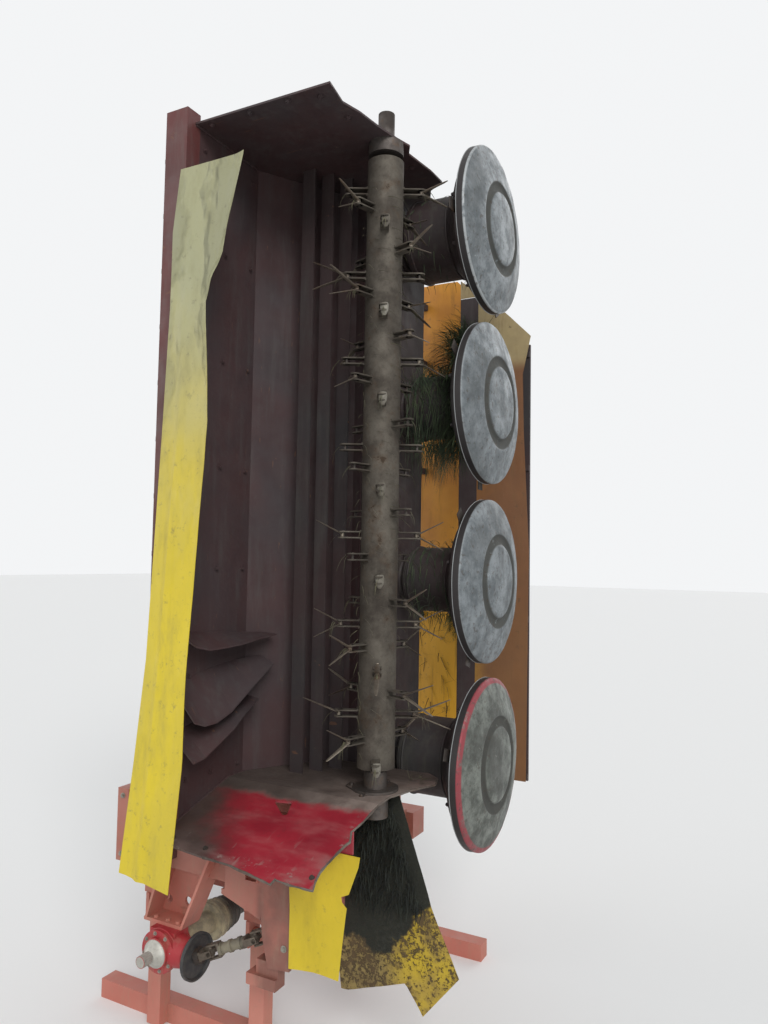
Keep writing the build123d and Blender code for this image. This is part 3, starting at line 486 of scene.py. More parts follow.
def add_bolt(bm, centre, direction, radius):
    """A hexagon head on its washer, with the end of the thread standing out."""
    out = Vector(direction).normalized()
    add_rod(bm, centre, centre + out * radius * 0.25, radius * 1.35, 20)
    add_rod(bm, centre + out * radius * 0.25, centre + out * radius, radius, 6, radius * 0.94)
    add_rod(bm, centre + out * radius, centre + out * radius * 1.35, radius * 0.5, 10)


def bridge(bm, a, b):
    """Faces between two closed rows of corners."""
    return [bm.faces.new(corners) for corners in zip(a, a[1:] + a[:1], b[1:] + b[:1], b)]


def skin(bm, rows):
    """A skin over rings of corners, capped at both ends."""
    for a, b in zip(rows, rows[1:]):
        bridge(bm, a, b)
    bm.faces.new(rows[0][::-1])
    bm.faces.new(rows[-1])


def add_ring(bm, centre, direction, radius, thickness, segments, sides):
    """A round bar bent to a ring."""
    where = Matrix.Translation(centre) @ turned_to(direction)
    rows = []
    for tip in turns(sides):
        reach = radius + thickness * cos(tip)
        rows.append([bm.verts.new(where @ Vector((reach * cos(turn), reach * sin(turn), thickness * sin(tip))))
                     for turn in turns(segments)])
    for a, b in zip(rows, rows[1:] + rows[:1]):
        bridge(bm, a, b)


def add_sweep(bm, path, radii, sides=8, flat=1.0, side=None):
    """A round or flattened bar along a path, closed at both ends. Its wide way starts along side."""
    if not isinstance(radii, (list, tuple)):
        radii = [radii] * len(path)
    rows = []
    for i, (point, radius) in enumerate(zip(path, radii)):
        ahead = (path[min(i + 1, len(path) - 1)] - path[max(i - 1, 0)]).normalized()
        if side is None:
            side = ahead.orthogonal().normalized()
        side = (side - ahead * side.dot(ahead)).normalized()
        up = ahead.cross(side)
        rows.append([bm.verts.new(point + side * radius * cos(turn) + up * radius * flat * sin(turn))
                     for turn in turns(sides)])
    skin(bm, rows)


def along(points, share):
    """The point at a share of a polyline's length."""
    points = [Vector(p) for p in points]
    runs = [(b - a).length for a, b in zip(points, points[1:])]
    left = share * sum(runs)
    for (a, b), run in zip(zip(points, points[1:]), runs):
        if left <= run:
            return a.lerp(b, left / run if run else 0)
        left -= run
    return points[-1]


def add_sheet(bm, stations, relief, columns, step, thickness=0.0022):
    """A sheet through stations, each a row of (x, z) across the cloth.

    relief(x, z, share across, share down) gives the cloth's Y.
    """
    rows = []
    for a, b in zip(stations, stations[1:]):
        length = max((along(a, 0.5) - along(b, 0.5)).length, step)
        count = max(1, round(length / step))
        for i in range(count):
            rows.append((a, b, i / count))
    rows.append((stations[-1], stations[-1], 0.0))
    grid = []
    for n, (a, b, share) in enumerate(rows):
        line = []
        for k in range(columns + 1):
            x, z = along(a, k / columns).lerp(along(b, k / columns), share)
            line.append(bm.verts.new(at(x, relief(x, z, k / columns, n / (len(rows) - 1)), z)))
        grid.append(line)
    for a, b in zip(grid, grid[1:]):
        for k in range(columns):
            bm.faces.new((a[k], b[k], b[k + 1], a[k + 1]))
    bmesh.ops.recalc_face_normals(bm, faces=bm.faces[:])
    bmesh.ops.solidify(bm, geom=bm.faces[:], thickness=thickness)


# CAD nodes: a finish for each, and rounded edges

FINISHES = {
    SALMON: ("carrier_frame", "hitch_frame", "mower_frame", "gearbox_bracket", "stand_lugs", "rear_stand",
             "front_stand"),
    LEG_SALMON: ("post_beam",),
    HOOD: ("hood_roof", "side_wall_outer", "guide_vanes"),
    SHADED: ("conditioner_plate", "gear_beam", "guard_frame"),
    DRUM_PAINT: ("drum_1", "drum_2", "drum_3", "drum_4", "drum_necks"),
    BAR_RED: ("rear_bar",),
    WALL_RED: ("side_wall_inner",),
    CASTING: ("gearbox",),
    DARK_STEEL: ("rotor_bearings", "cross_shaft", "blades_1", "blades_2", "blades_3", "blades_4"),
    STEEL: ("hitch_pins", "fold_pin", "lift_rod", "pto_shaft"),
    PLASTIC: ("guard_disc", "lift_barrel"),
    BELL: ("pto_guard",),
}
ROUNDED = {
    "carrier_frame": 0.008, "post_beam": 0.006, "hitch_frame": 0.003, "mower_frame": 0.004,
    "gearbox_bracket": 0.002, "rear_stand": 0.006, "front_stand": 0.006, "rear_bar": 0.006,
    "gearbox": 0.004, "guard_frame": 0.003, "side_wall_inner": 0.002, "side_wall_outer": 0.002,
    "conditioner_plate": 0.002, "stand_lugs": 0.002, "rotor_bearings": 0.003, "gear_beam": 0.003,
}
for finish, names in FINISHES.items():
    for name in names:
        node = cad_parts[name]
        node.data.materials.clear()
        node.data.materials.append(finish)
for name, width in ROUNDED.items():
    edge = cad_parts[name].modifiers.new("rounded", "BEVEL")
    edge.width, edge.segments, edge.limit_method, edge.angle_limit = width, 2, "ANGLE", BEVELLED_EDGE


# Dishes, spun and dented

# Pairs of X, outwards from the rim's plane, and radius: counted from the rim's own, then from the axis
RIM_PROFILE = (
    (-0.036, -0.001), (-0.0345, 0.0), (-0.033, -0.0015), (-0.008, -0.001), (-0.003, -0.0015), (0.0, -0.004),
    (0.006, -0.016), (0.014, -0.045), (0.022, -0.080),
)
BOWL_PROFILE = (
    (0.031, 0.238), (0.0375, 0.208), (0.038, 0.202), (0.036, 0.197), (0.031, 0.190), (0.0295, 0.180),
    (0.0295, 0.168), (0.032, 0.161), (0.040, 0.155), (0.0445, 0.150), (0.0475, 0.138), (0.050, 0.110),
    (0.052, 0.070), (0.053, 0.030), (0.053, 0.0),
)
DISH_TURNS = 144


def make_dish(n):
    rim = DISH_R[n]
    centre = at(0, 0, PITCH * n)
    outside = [(x, rim + r) for x, r in RIM_PROFILE] + list(BOWL_PROFILE)
    inside = [(x - 0.007, max(r - 0.004, 0.0)) for x, r in outside[5:]][::-1]
    inside += [(-0.008, rim - 0.006), (-0.036, rim - 0.006)]
    profile = outside + inside
    bm = bmesh.new()
    spin = bm.loops.layers.uv.new("spin")
    rows = []
    for x, r in profile:
        row = []
        for turn in turns(DISH_TURNS):
            y, z = r * sin(turn), r * cos(turn)
            dent = wobble(y * 9, z * 9, 3.7 * n) * 0.0016
            dent += wobble(y * 30, z * 30, n) * 0.0005
            bent = wobble(cos(turn) * 2, sin(turn) * 2, 5.1 * n) * 0.0025 * max(0, r - 0.25) / 0.1
            row.append(bm.verts.new(centre + Vector((x - 0.001 - abs(dent) - abs(bent) * 0.6, y, z))))
        rows.append(row)
    for a, b, (_, ra), (_, rb) in zip(rows, rows[1:], profile, profile[1:]):
        for i, face in enumerate(bridge(bm, a, b)):
            start, end = i / DISH_TURNS, (i + 1) / DISH_TURNS
            for loop, share in zip(face.loops, ((start, ra), (end, ra), (end, rb), (start, rb))):
                loop[spin].uv = share
    bmesh.ops.remove_doubles(bm, verts=bm.verts[:], dist=0.00005)
    bmesh.ops.recalc_face_normals(bm, faces=bm.faces[:])
    made = piece(f"dish_shell_{n + 1}", bm, LOW_DISH if n == 0 else DISH, f"dish_{n + 1}")
    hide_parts(f"dish_{n + 1}")


for n in range(DRUMS):
    make_dish(n)


# Drums: two rolled beads round each neck, and the bolts of the skirt

for n in range(DRUMS):
    bm = bmesh.new()
    for x in (-0.330, -0.155):
        add_ring(bm, at(x, 0, PITCH * n), (1, 0, 0), NECK_R[n] + 0.0015, 0.005, 72, 8)
    for turn in turns(8, 0.3):
        spot = at(-0.0825, 0, PITCH * n) + Vector((0, sin(turn), cos(turn))) * 0.262
        add_bolt(bm, spot + Vector((-0.006, 0, 0)), Vector((-1, sin(turn) * 0.35, cos(turn) * 0.35)), 0.008)
    piece(f"drum_beads_{n + 1}", bm, DRUM_PAINT, f"drum_{n + 1}")


# Conditioner rotor: forked tines between two lugs, many of them broken off at the root

# What is left of the tines that the photograph shows worn: by row and by side of the rotor
WORN = {spot: state for state, spots in {
    "root": ((0, 180), (8, 180), (12, 0), (16, 180), (20, 0), (24, 180)),
    "outer": ((2, 180), (10, 180)),
    "inner": ((17, 180), (18, 0), (19, 0)),
    "none": ((7, 0), (8, 0), (9, 0), (9, 180), (11, 0), (11, 180), (12, 180), (13, 0), (13, 180), (14, 0),
             (14, 180), (15, 0), (15, 180), (16, 0), (17, 0), (18, 180), (22, 180), (23, 0), (26, 180)),
}.items() for spot in spots}


def lugs():
    """Each lug's row, its side of the rotor in degrees, its pivot, and the ways out from the rotor and round it."""
    for row in range(TINE_ROWS):
        for half in (0, 180):
            turn = radians(TINE_START + TINE_TURN * row + half)
            out, round_ = Vector((cos(turn), sin(turn), 0)), Vector((-sin(turn), cos(turn), 0))
            yield row, half, at(*ROTOR, TINE_LOW + TINE_STEP * row) + out * LUG_R, out, round_


def make_rotor():
    """The tube, a little dented, with the lugs closed up on their tines as far as the real ones."""
    bm = bmesh.new()
    foot, head, rings = at(*ROTOR, 0.060), at(*ROTOR, 2.420), 90
    grid = []
    for i in range(rings + 1):
        centre = foot.lerp(head, i / rings)
        row = []
        for turn in turns(64):
            out = Vector((cos(turn), sin(turn), 0))
            dent = abs(noise.noise(centre * 5 + out * 0.7)) * 0.0016
            row.append(bm.verts.new(centre + out * (TUBE_R - dent)))
        grid.append(row)
    skin(bm, grid)
    for low, high in ((-0.124, 0.064), (2.416, 2.572)):
        add_rod(bm, at(*ROTOR, low), at(*ROTOR, high), SHAFT_R, 32)
    for _, _, hub, out, round_ in lugs():
        turn = Matrix((out, round_, lift(1))).transposed().to_4x4()
        for level in (lift(-0.0115), lift(0.0115)):
            add_block(bm, hub - out * 0.026 + level, (0.082, 0.034, 0.0055), turn, 0.0012)
            tip = hub + out * 0.013 + level
            add_rod(bm, tip - lift(0.00275), tip + lift(0.00275), 0.0168, 24)
            seam = [hub - out * 0.0600 + round_ * 0.017 * step + level * 1.35 for step in (-1, -0.5, 0, 0.5, 1)]
            add_sweep(bm, seam, 0.0036, 6)
    made = piece("rotor_body", bm, ROTOR_STEEL, "rotor")
    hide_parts("rotor_tube")


def make_tines():
    bm, roots, pins = bmesh.new(), bmesh.new(), bmesh.new()
    for row, half, hub, out, round_ in lugs():
        z = TINE_LOW + TINE_STEP * row
        near_blades = min(abs(z - PITCH * n) for n in range(DRUMS)) < NEAR_BLADES
        seed = row * 2.17 + half * 0.031
        state = WORN.get((row, half), "whole")
        pin = hub + out * 0.008
        add_rod(pins, pin - lift(0.0160), pin + lift(0.0160), 0.0052, 12)
        if state == "none":
            continue
        if state == "root":
            spot = hub + out * 0.012 + round_ * 0.004
            path = [spot + lift(height) + out * reach
                    for height, reach in ((0.018, 0), (0.006, 0.004), (-0.014, 0.006), (-0.030, 0.004))]
            add_sweep(roots, path, (0.014, 0.0170, 0.0150, 0.006), 14, 0.45, round_ + lift(0.35))
            continue
        apex = hub + out * 0.012
        add_rod(bm, apex - lift(0.0075), apex + lift(0.0075), 0.0078, 18)
        reach = (SHORT_R if near_blades else TINE_R) - LUG_R - 0.012
        for side in (-1, 1):
            if state == ("inner" if side > 0 else "outer"):
                continue
            bend = wobble(seed, side * 1.7, 7.9) * 0.010
            twist = wobble(seed, side * 5.1, 3.1) * 0.5
            wide = (round_ * cos(twist) + lift(1) * sin(twist)).normalized()
            path, radii = [], []
            for i in range(8):
                share = i / 7
                spot = apex + out * (0.001 + (reach - 0.004) * share)
                path.append(spot + lift(side * (0.003 + 0.052 * share)) + round_ * bend * share ** 2)
                radii.append(0.0110 * (1 - share) + 0.0058 * share)
            radii[-1] = 0.0036
            add_sweep(bm, path, radii, 10, 0.30, wide)
    made = piece("rotor_tines", bm, TINE_STEEL, "rotor")
    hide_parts("tines")
    piece("broken_tine_roots", roots, WORN_ROOT, "rotor")
    piece("tine_pins", pins, DARK_STEEL, "rotor")


make_rotor()
make_tines()


# Canvas: rows of (x, z) across each cloth, from one end to the other


def level(z, *across):
    """A row at one height."""
    return tuple((x, z) for x in across)


CURTAIN = (
    level(2.300, -0.879, -0.577), level(2.180, -0.888, -0.602), ((-0.897, 2.055), (-0.629, 2.045)),
    level(1.935, -0.891, -0.645), level(1.838, -0.887, -0.688), ((-0.884, 1.755), (-0.705, 1.759)),
    level(1.540, -0.882, -0.690), level(1.325, -0.880, -0.674), level(0.903, -0.880, -0.684),
    ((-0.880, 0.480), (-0.694, 0.493)), ((-0.903, 0.132), (-0.687, 0.162)), ((-0.936, -0.250), (-0.713, -0.281)),
)


def curtain_y(x, z, across, down):
    """Stiff, creased cloth: crumpled above, with one long fold below and its free edge curled."""
    plane = -1.0064 - (2.300 - z) * 0.05
    above = min(1.0, max(0.0, (z - 1.15) / 0.8))
    creases = (crumple(x + 0.35 * z, z, 0.30, 1.3) - 0.45) * (0.007 + 0.026 * above)
    waves = wobble(x * 3.5, z * 1.9, 4.0) * 0.012
    fold = -0.010 * max(0.0, 1 - abs(across - 0.38) / 0.12) * (1 - above)
    turn = 0.9 - 0.25 * max(0.0, 1 - abs(z - 1.95) / 0.5)
    curl = 0.026 * max(0.0, (across - turn) / (1 - turn)) ** 1.6 * above
    held = min(1.0, across / 0.14) * min(1.0, down / 0.02 + 0.15)
    return plane + min(0.004, (creases + waves) * held) + fold * held - curl * 0.5


def make_curtain():
    bm = bmesh.new()
    add_sheet(bm, CURTAIN, curtain_y, 26, 0.016, 0.0026)
    made = piece("curtain_cloth", bm, YELLOW, "mower")
    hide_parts("rear_curtain")


PANEL_ROWS = (
    level(-0.1545, -0.444, -0.158), level(-0.190, -0.443, -0.164), ((-0.441, -0.280), (-0.200, -0.285)),
    ((-0.441, -0.295), (-0.229, -0.298)), ((-0.440, -0.313), (-0.226, -0.316)),
    ((-0.440, -0.330), (-0.207, -0.332)), level(-0.437, -0.439, -0.220),
    ((-0.436, -0.585), (-0.337, -0.575), (-0.234, -0.576)),
)


def panel_y(x, z, across, down):
    wave = wobble(x * 4.5, z * 3.5, 9.0) * 0.007
    crease = (crumple(x, z, 0.22, 6.1) - 0.45) * 0.006
    return -0.818 + (wave + crease) * min(1.0, down * 4)


CANVAS_ROWS = (
    level(-0.0323, -0.437, -0.230), level(-0.200, -0.437, -0.170), level(-0.453, -0.451, -0.079),
    level(-0.687, -0.465, 0.036), ((-0.470, -0.775), (-0.300, -0.752), (-0.183, -0.722), (-0.036, -0.773)),
    ((-0.462, -0.846), (-0.434, -0.846), (-0.183, -0.757), (-0.108, -0.859)),
)


def canvas_y(x, z, across, down):
    wave = wobble(x * 5, z * 4, 2.0) * 0.010
    crease = (crumple(x, z, 0.18, 3.1) - 0.45) * 0.009
    return -0.406 + max(-0.012, min(0.012, (wave + crease) * min(1.0, down * 4)))


ORANGE_ROWS = (
    level(-0.230, -0.640, -0.4103), level(2.310, -0.640, -0.4103), level(2.330, -0.640, -0.430),
)
CORNER_ROWS = (
    level(2.232, -0.4103, -0.3097), ((-0.4103, 2.330), (-0.3550, 2.285), (-0.3097, 2.236)),
)
BROWN_ROWS = (
    level(-0.230, -0.3097, -0.039), level(0.900, -0.3097, -0.030), level(1.500, -0.3097, -0.060),
    level(1.798, -0.3097, -0.067), level(1.900, -0.3097, -0.045),
    ((-0.3097, 2.235), (-0.154, 2.120), (-0.026, 1.989)),
)


def front_y(x, z, across, down):
    """Between two arms of the frame the sheet bellies a little, away from the drums."""
    marks = (-0.210, 0.560, 1.320, 1.900, 2.210, 2.6)
    belly = 0.0
    for low, high in zip(marks, marks[1:]):
        if low <= z <= high:
            belly = sin(pi * (z - low) / (high - low))
    side = sin(pi * min(1.0, max(0.0, across)))
    wave = wobble(x * 4, z * 2.5, 12.0) * 0.004
    return 0.6175 - 0.007 * belly * side + wave * side * 0.6


def make_canvases():
    for name, rows, relief, columns, material, node, slot, flat, area, hung in (
        ("panel_cloth", PANEL_ROWS, panel_y, 18, PANEL, "inner_panel", "canvas_yellow",
         (0.29, 0.43), 0.0990, "side_wall_inner"),
        ("crop_canvas_cloth", CANVAS_ROWS, canvas_y, 26, SHADOWED_CAKED, "inner_canvas", "canvas_dirty",
         (0.51, 0.84), 0.284, "side_wall_inner"),
        ("front_cloth_orange", ORANGE_ROWS, front_y, 12, ORANGE, "front_canvas", "canvas_yellow",
         (0.23, 2.56), 0.589, "guard_frame"),
        ("front_cloth_brown", BROWN_ROWS, front_y, 14, BROWN, None, "canvas_dirty",
         (0.285, 2.47), 0.633, "guard_frame"),
        ("front_cloth_corner", CORNER_ROWS, front_y, 8, BROWN, None, "canvas_dirty",
         (0.101, 0.098), 0.0057, "guard_frame"),
    ):
        bm = bmesh.new()
        front = name.startswith("front")
        add_sheet(bm, rows, relief, columns, 0.03 if front else 0.014)
        made = piece(name, bm, material, "front_guard" if front else "mower")
        if node:
            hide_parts(node)


make_curtain()
make_canvases()


# Fastenings and fittings of the hood


def make_hood_fittings():
    bm = bmesh.new()
    for i in range(12):
        z = 2.36 - 0.215 * i
        add_block(bm, at(-0.972, -0.972, z), (0.012, 0.034, 0.020))
        add_bolt(bm, at(-0.966, -0.972, z), (-1, 0, 0), 0.007)
    piece("bar_clips", bm, DARK_STEEL, "mower")

    bm = bmesh.new()
    for z in (2.42, 2.05, 1.62, 1.20, 0.80, 0.40, 0.02):
        for y in (-0.600, -0.760, -0.900):
            add_bolt(bm, at(-0.8595, y, z), (1, 0, 0), 0.008)
    for x, y in ((-0.80, -0.93), (-0.62, -0.93), (-0.45, -0.93), (-0.33, -0.90), (-0.31, -0.74), (-0.26, -0.30),
                 (-0.50, -0.20), (-0.70, -0.45)):
        add_bolt(bm, at(x, y, HOOD_UNDERSIDE), (0, 0, -1), 0.009)
    piece("hood_bolts", bm, HOOD, "mower")

    # The wall's slope falls to the rear from its fold
    drop = Vector((0, -0.9527, -0.3039))
    fold = at(0, WALL_FOLD, WALL_TOP)
    bm = bmesh.new()
    for x, down in ((-0.200, 0.415), (-0.800, 0.385), (-0.640, 0.400)):
        spot = fold + Vector((x, 0, 0)) + drop * down
        add_bolt(bm, spot + Vector((0, -0.0012, 0.0038)), (0, -0.304, 0.953), 0.007)
    for x, y in ((-0.275, -0.395), (-0.275, -0.605), (-0.378, -0.500)):
        add_bolt(bm, at(x, y, -0.0245), (0, 0, 1), 0.008)
    piece("wall_bolts", bm, DARK_STEEL, "mower")

    bm = bmesh.new()
    level_part = [(-0.193, -0.192), (-0.135, -0.234), (-0.108, -0.319), (-0.157, -0.440), (-0.185, -0.552)]
    slope = [(-0.180, 0.0), (-0.182, 0.032), (-0.186, 0.109), (-0.197, 0.170), (-0.174, 0.219), (-0.181, 0.240),
             (-0.192, 0.343), (-0.192, 0.380), (-0.183, 0.425), (-0.169, 0.461), (-0.253, 0.460), (-0.313, 0.455),
             (-0.315, 0.480), (-0.501, 0.444), (-0.633, 0.438)]
    edge = [at(x, y, WALL_TOP) for x, y in level_part]
    edge += [fold + Vector((x, 0, 0)) + drop * down for x, down in slope]
    path, radii = [], []
    for a, b in zip(edge, edge[1:]):
        steps = max(2, round((b - a).length / 0.012))
        for i in range(steps):
            spot = a.lerp(b, i / steps)
            path.append(spot + lift(noise.noise(spot * 14) * 0.0015))
            radii.append(0.0041 + noise.noise(spot * 40) * 0.0018)
    add_sweep(bm, path, radii)
    piece("wall_lip", bm, LIP, "mower")

    # Packed dirt closes the seams that the hood's slanted sheet has with the wall and with the end sheet
    bm = bmesh.new()
    for start, end in (
        ((-0.8575, -0.953, -0.1225), (-0.8575, -0.650, -0.0258)),
        ((-0.8575, -0.650, -0.0258), (-0.8575, -0.543, -0.0258)),
        ((-0.8615, -0.546, -0.0280), (-0.6600, -0.201, -0.0280)),
        ((-0.8575, -0.953, 2.4935), (-0.8575, -0.543, 2.4935)),
    ):
        path = [at(*start).lerp(at(*end), i / 59) for i in range(60)]
        add_sweep(bm, path, [0.0045 + noise.noise(spot * 25) * 0.0012 for spot in path])
    piece("packed_seam", bm, HOOD, "mower")

    # A bent wire lies on the wall round the rotor's foot
    bm = bmesh.new()
    wire = [(-0.397, -0.482), (-0.385, -0.530), (-0.344, -0.557), (-0.300, -0.580), (-0.268, -0.590),
            (-0.236, -0.572), (-0.218, -0.540), (-0.212, -0.494)]
    add_sweep(bm, [at(x, y, -0.0208) for x, y in wire], 0.0026)
    piece("bent_wire", bm, DARK_STEEL, "mower")


make_hood_fittings()


# Gearbox and drive shafts

BOX = (-0.980, -0.835, -0.633)


def on_box(turn, radius, y):
    """A place round the line of the drive's shaft, counted from the gearbox's centre."""
    return at(*BOX) + Vector((radius * cos(turn), y, radius * sin(turn)))


def make_drive():
    bm = bmesh.new()
    for turn in turns(8, 0.2):
        add_bolt(bm, on_box(turn, 0.0665, -0.050), (0, -1, 0), 0.0055)
    piece("gearbox_bolts", bm, DUSTY_STEEL, "carrier")

    bm = bmesh.new()
    for turn in turns(10, 0.1):
        if sin(turn) < 0.75 and cos(turn) < 0.75:
            add_block(bm, on_box(turn, 0.070, 0.020), (0.014, 0.062, 0.007), Matrix.Rotation(-turn, 4, "Y"), 0.0015)
    add_ring(bm, on_box(0, 0, -0.032), (0, 1, 0), 0.0775, 0.0030, 48, 8)
    piece("gearbox_ribs", bm, CASTING, "carrier")

    # A grey collar round the splined stub, both bare of paint
    bm = bmesh.new()
    for start, end, radius, sides, end_radius in (
        (-0.0640, -0.0675, 0.0515, 44, 0.0500), (-0.0675, -0.0935, 0.0492, 44, 0.0228),
        (-0.0930, -0.1360, 0.0214, 40, 0.0214), (-0.1360, -0.1390, 0.0214, 40, 0.0185),
    ):
        add_rod(bm, on_box(0, 0, start), on_box(0, 0, end), radius, sides, end_radius)
    for turn in turns(18):
        add_rod(bm, on_box(turn, 0.0205, -0.098), on_box(turn, 0.0205, -0.1365), 0.0019, 6)
    piece("shaft_stub", bm, STUB, "carrier")

    bm = bmesh.new()
    for y, radius in ((-0.589, 0.0738), (-0.560, 0.0726), (-0.530, 0.0681), (-0.500, 0.0636), (-0.474, 0.0597)):
        add_ring(bm, at(BOX[0], y, BOX[2]), (0, 1, 0), radius, 0.0032, 56, 8)
    piece("bell_ribs", bm, BELL, "carrier")


make_drive()


def make_cross_shaft():
    """Two forks with a cross between them at each end, and a guarded tube."""
    start, end = at(-0.8347, -0.835, -0.633), at(-0.575, -0.762, -0.525)
    ahead = (end - start).normalized()
    side = ahead.cross(lift(1)).normalized()
    up = side.cross(ahead)
    bm = bmesh.new()
    for centre in (start + ahead * 0.062, end - ahead * 0.042):
        add_block(bm, centre, (0.024, 0.024, 0.024), bevel=0.004)
        for axis, way in ((side, 1), (up, -1)):
            add_rod(bm, centre - axis * 0.027, centre + axis * 0.027, FORK_R, 14)
            turn = Matrix((axis, ahead.cross(axis), ahead)).transposed().to_4x4()
            for sign in (-1, 1):
                add_block(bm, centre + axis * 0.0235 * sign - ahead * 0.016 * way, (0.007, 0.026, 0.052), turn, 0.002)
            add_block(bm, centre - ahead * 0.0385 * way, (0.052, 0.034, 0.012), turn, 0.004)
    piece("cross_shaft_forks", bm, TINE_STEEL, "carrier")
    bm = bmesh.new()
    add_rod(bm, start + ahead * 0.100, end - ahead * 0.086, 0.0190, 32)
    for share in (0.100, 0.140, 0.180):
        add_rod(bm, start + ahead * share, start + ahead * (share + 0.012), 0.0225, 32)
    piece("cross_shaft_tube", bm, DUSTY_PLASTIC, "carrier")
    bm = bmesh.new()
    add_rod(bm, start, start + ahead * 0.020, 0.030, 32)
    for turn in turns(4, 0.6):
        add_bolt(bm, start + ahead * 0.020 + (side * cos(turn) + up * sin(turn)) * 0.022, ahead, 0.0045)
    hub = piece("cross_shaft_hub", bm, DARK_STEEL, "carrier")
    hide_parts("cross_shaft")


make_cross_shaft()


def make_frame_fittings():
    """Bolts, pins and welds of the carrier and of the bracket."""
    bm = bmesh.new()
    for x, z in ((-1.10, -0.235), (-1.18, -0.235), (-1.10, -0.320), (-1.18, -0.320)):
        add_bolt(bm, at(x, -0.7855, z), (0, -1, 0), 0.011)
    add_bolt(bm, at(-0.468, -0.8015, -0.533), (0, -1, 0), 0.009)
    for z in (-0.36, -0.13):
        add_bolt(bm, at(-1.286, -0.7855, z), (0, -1, 0), 0.008)
    piece("frame_bolts", bm, DUSTY_STEEL, "carrier")

    bm = bmesh.new()
    for side in (-1, 1):
        x = -1.250 + side * (0.825 / 2 + 0.100)
        add_ring(bm, at(x, 0.800, -0.543), (1, 0, 0), 0.0155, 0.0022, 28, 6)
        add_rod(bm, at(x, 0.800, -0.520), at(x, 0.800, -0.566), 0.0040, 10)
    piece("linch_pins", bm, STEEL, "carrier")

    bm = bmesh.new()
    for start, end in (
        ((-0.740, -0.7862, -0.389), (-0.650, -0.7862, -0.389)),
        ((-0.5915, -0.8022, -0.215), (-0.5915, -0.8022, -0.330)),
        ((-0.660, -0.6000, -0.4447), (-0.800, -0.6000, -0.4447)),
    ):
        path = [at(*start).lerp(at(*end), i / 24) for i in range(25)]
        add_sweep(bm, path, [0.0032 + 0.0012 * (i % 2) for i in range(25)], 7)
    piece("weld_beads", bm, SALMON, "carrier")


make_frame_fittings()


# Cut grass caught on the drums and the rotor

SHARE_STEPS = (0.618034, 0.7548777, 0.3247, 0.5698403, 0.3819660)


def shares(i):
    """Five shares from 0 to 1, each of which fills that range evenly as i counts up."""
    return [i * step % 1 for step in SHARE_STEPS]


def add_blade(bm, start, heading, length, width, sag, seed):
    """One stalk: a narrow ribbon that leaves along a heading and bends down."""
    steps = 6
    spot, ahead = Vector(start), Vector(heading).normalized()
    across = ahead.cross(Vector((wobble(seed, 0, 0), 0.3, 1))).normalized()
    last = None
    for i in range(steps + 1):
        share = i / steps
        half = across * width * (1 - 0.8 * share) / 2
        pair = (bm.verts.new(spot - half), bm.verts.new(spot + half))
        if last:
            bm.faces.new((last[0], last[1], pair[1], pair[0]))
        last = pair
        ahead = (ahead + Vector((wobble(seed, share * 3, 1) * 0.35,
                                 wobble(seed, share * 3, 2) * 0.35, -sag))).normalized()
        spot = spot + ahead * length / steps


def add_caught_blade(bm, start, heading, length, width, sag, seed):
    """A blade caught on a drum. One that the tines would reach is left out: they have cut it off."""
    axis = at(*ROTOR, 0)
    for spot in (start, start + heading.normalized() * length):
        if (spot.x - axis.x) ** 2 + (spot.y - axis.y) ** 2 < CUT_R ** 2:
            return
    add_blade(bm, start, heading, length, width, sag, seed)


# Headings of the stalks in a mat


def hanging(i, turn, out):
    return Vector((0.7 * wobble(i * 0.31, 4, 1) - 0.6, -0.15, -0.45)) + out * (0.15 + 0.6 * max(0.0, cos(turn)))


def standing(i, turn, out):
    stray = wobble(i * 0.27, 9, 1)
    return Vector((1.3 * stray - 0.2, -0.5 * abs(stray), 0.0)) + out * 0.6


def straying(i, turn, out):
    return Vector((1.3 * wobble(i * 0.23, 2, 6), -0.45, -0.2)) + out * 0.7


def tufted(i, turn, out):
    return Vector((wobble(i * 0.31, 4, 1) * 1.5 - 0.3, -0.4, wobble(i * 0.4, 8, 1)))


def add_mat(bm, n, heading, count, arc, depth, radius, length, width, sag, seed):
    """Stalks on the skirt behind a dish. Each pair says where a measure starts and how far it spreads."""
    for i in range(count):
        around, off, deep, long, _ = shares(i)
        turn = radians(arc[0] + arc[1] * around)
        out = Vector((0, sin(turn), cos(turn)))
        spot = at(depth[0] + depth[1] * deep, 0, PITCH * n) + out * (radius[0] + radius[1] * off)
        add_caught_blade(bm, spot, heading(i, turn, out), length[0] + length[1] * long, width, sag, i * seed)


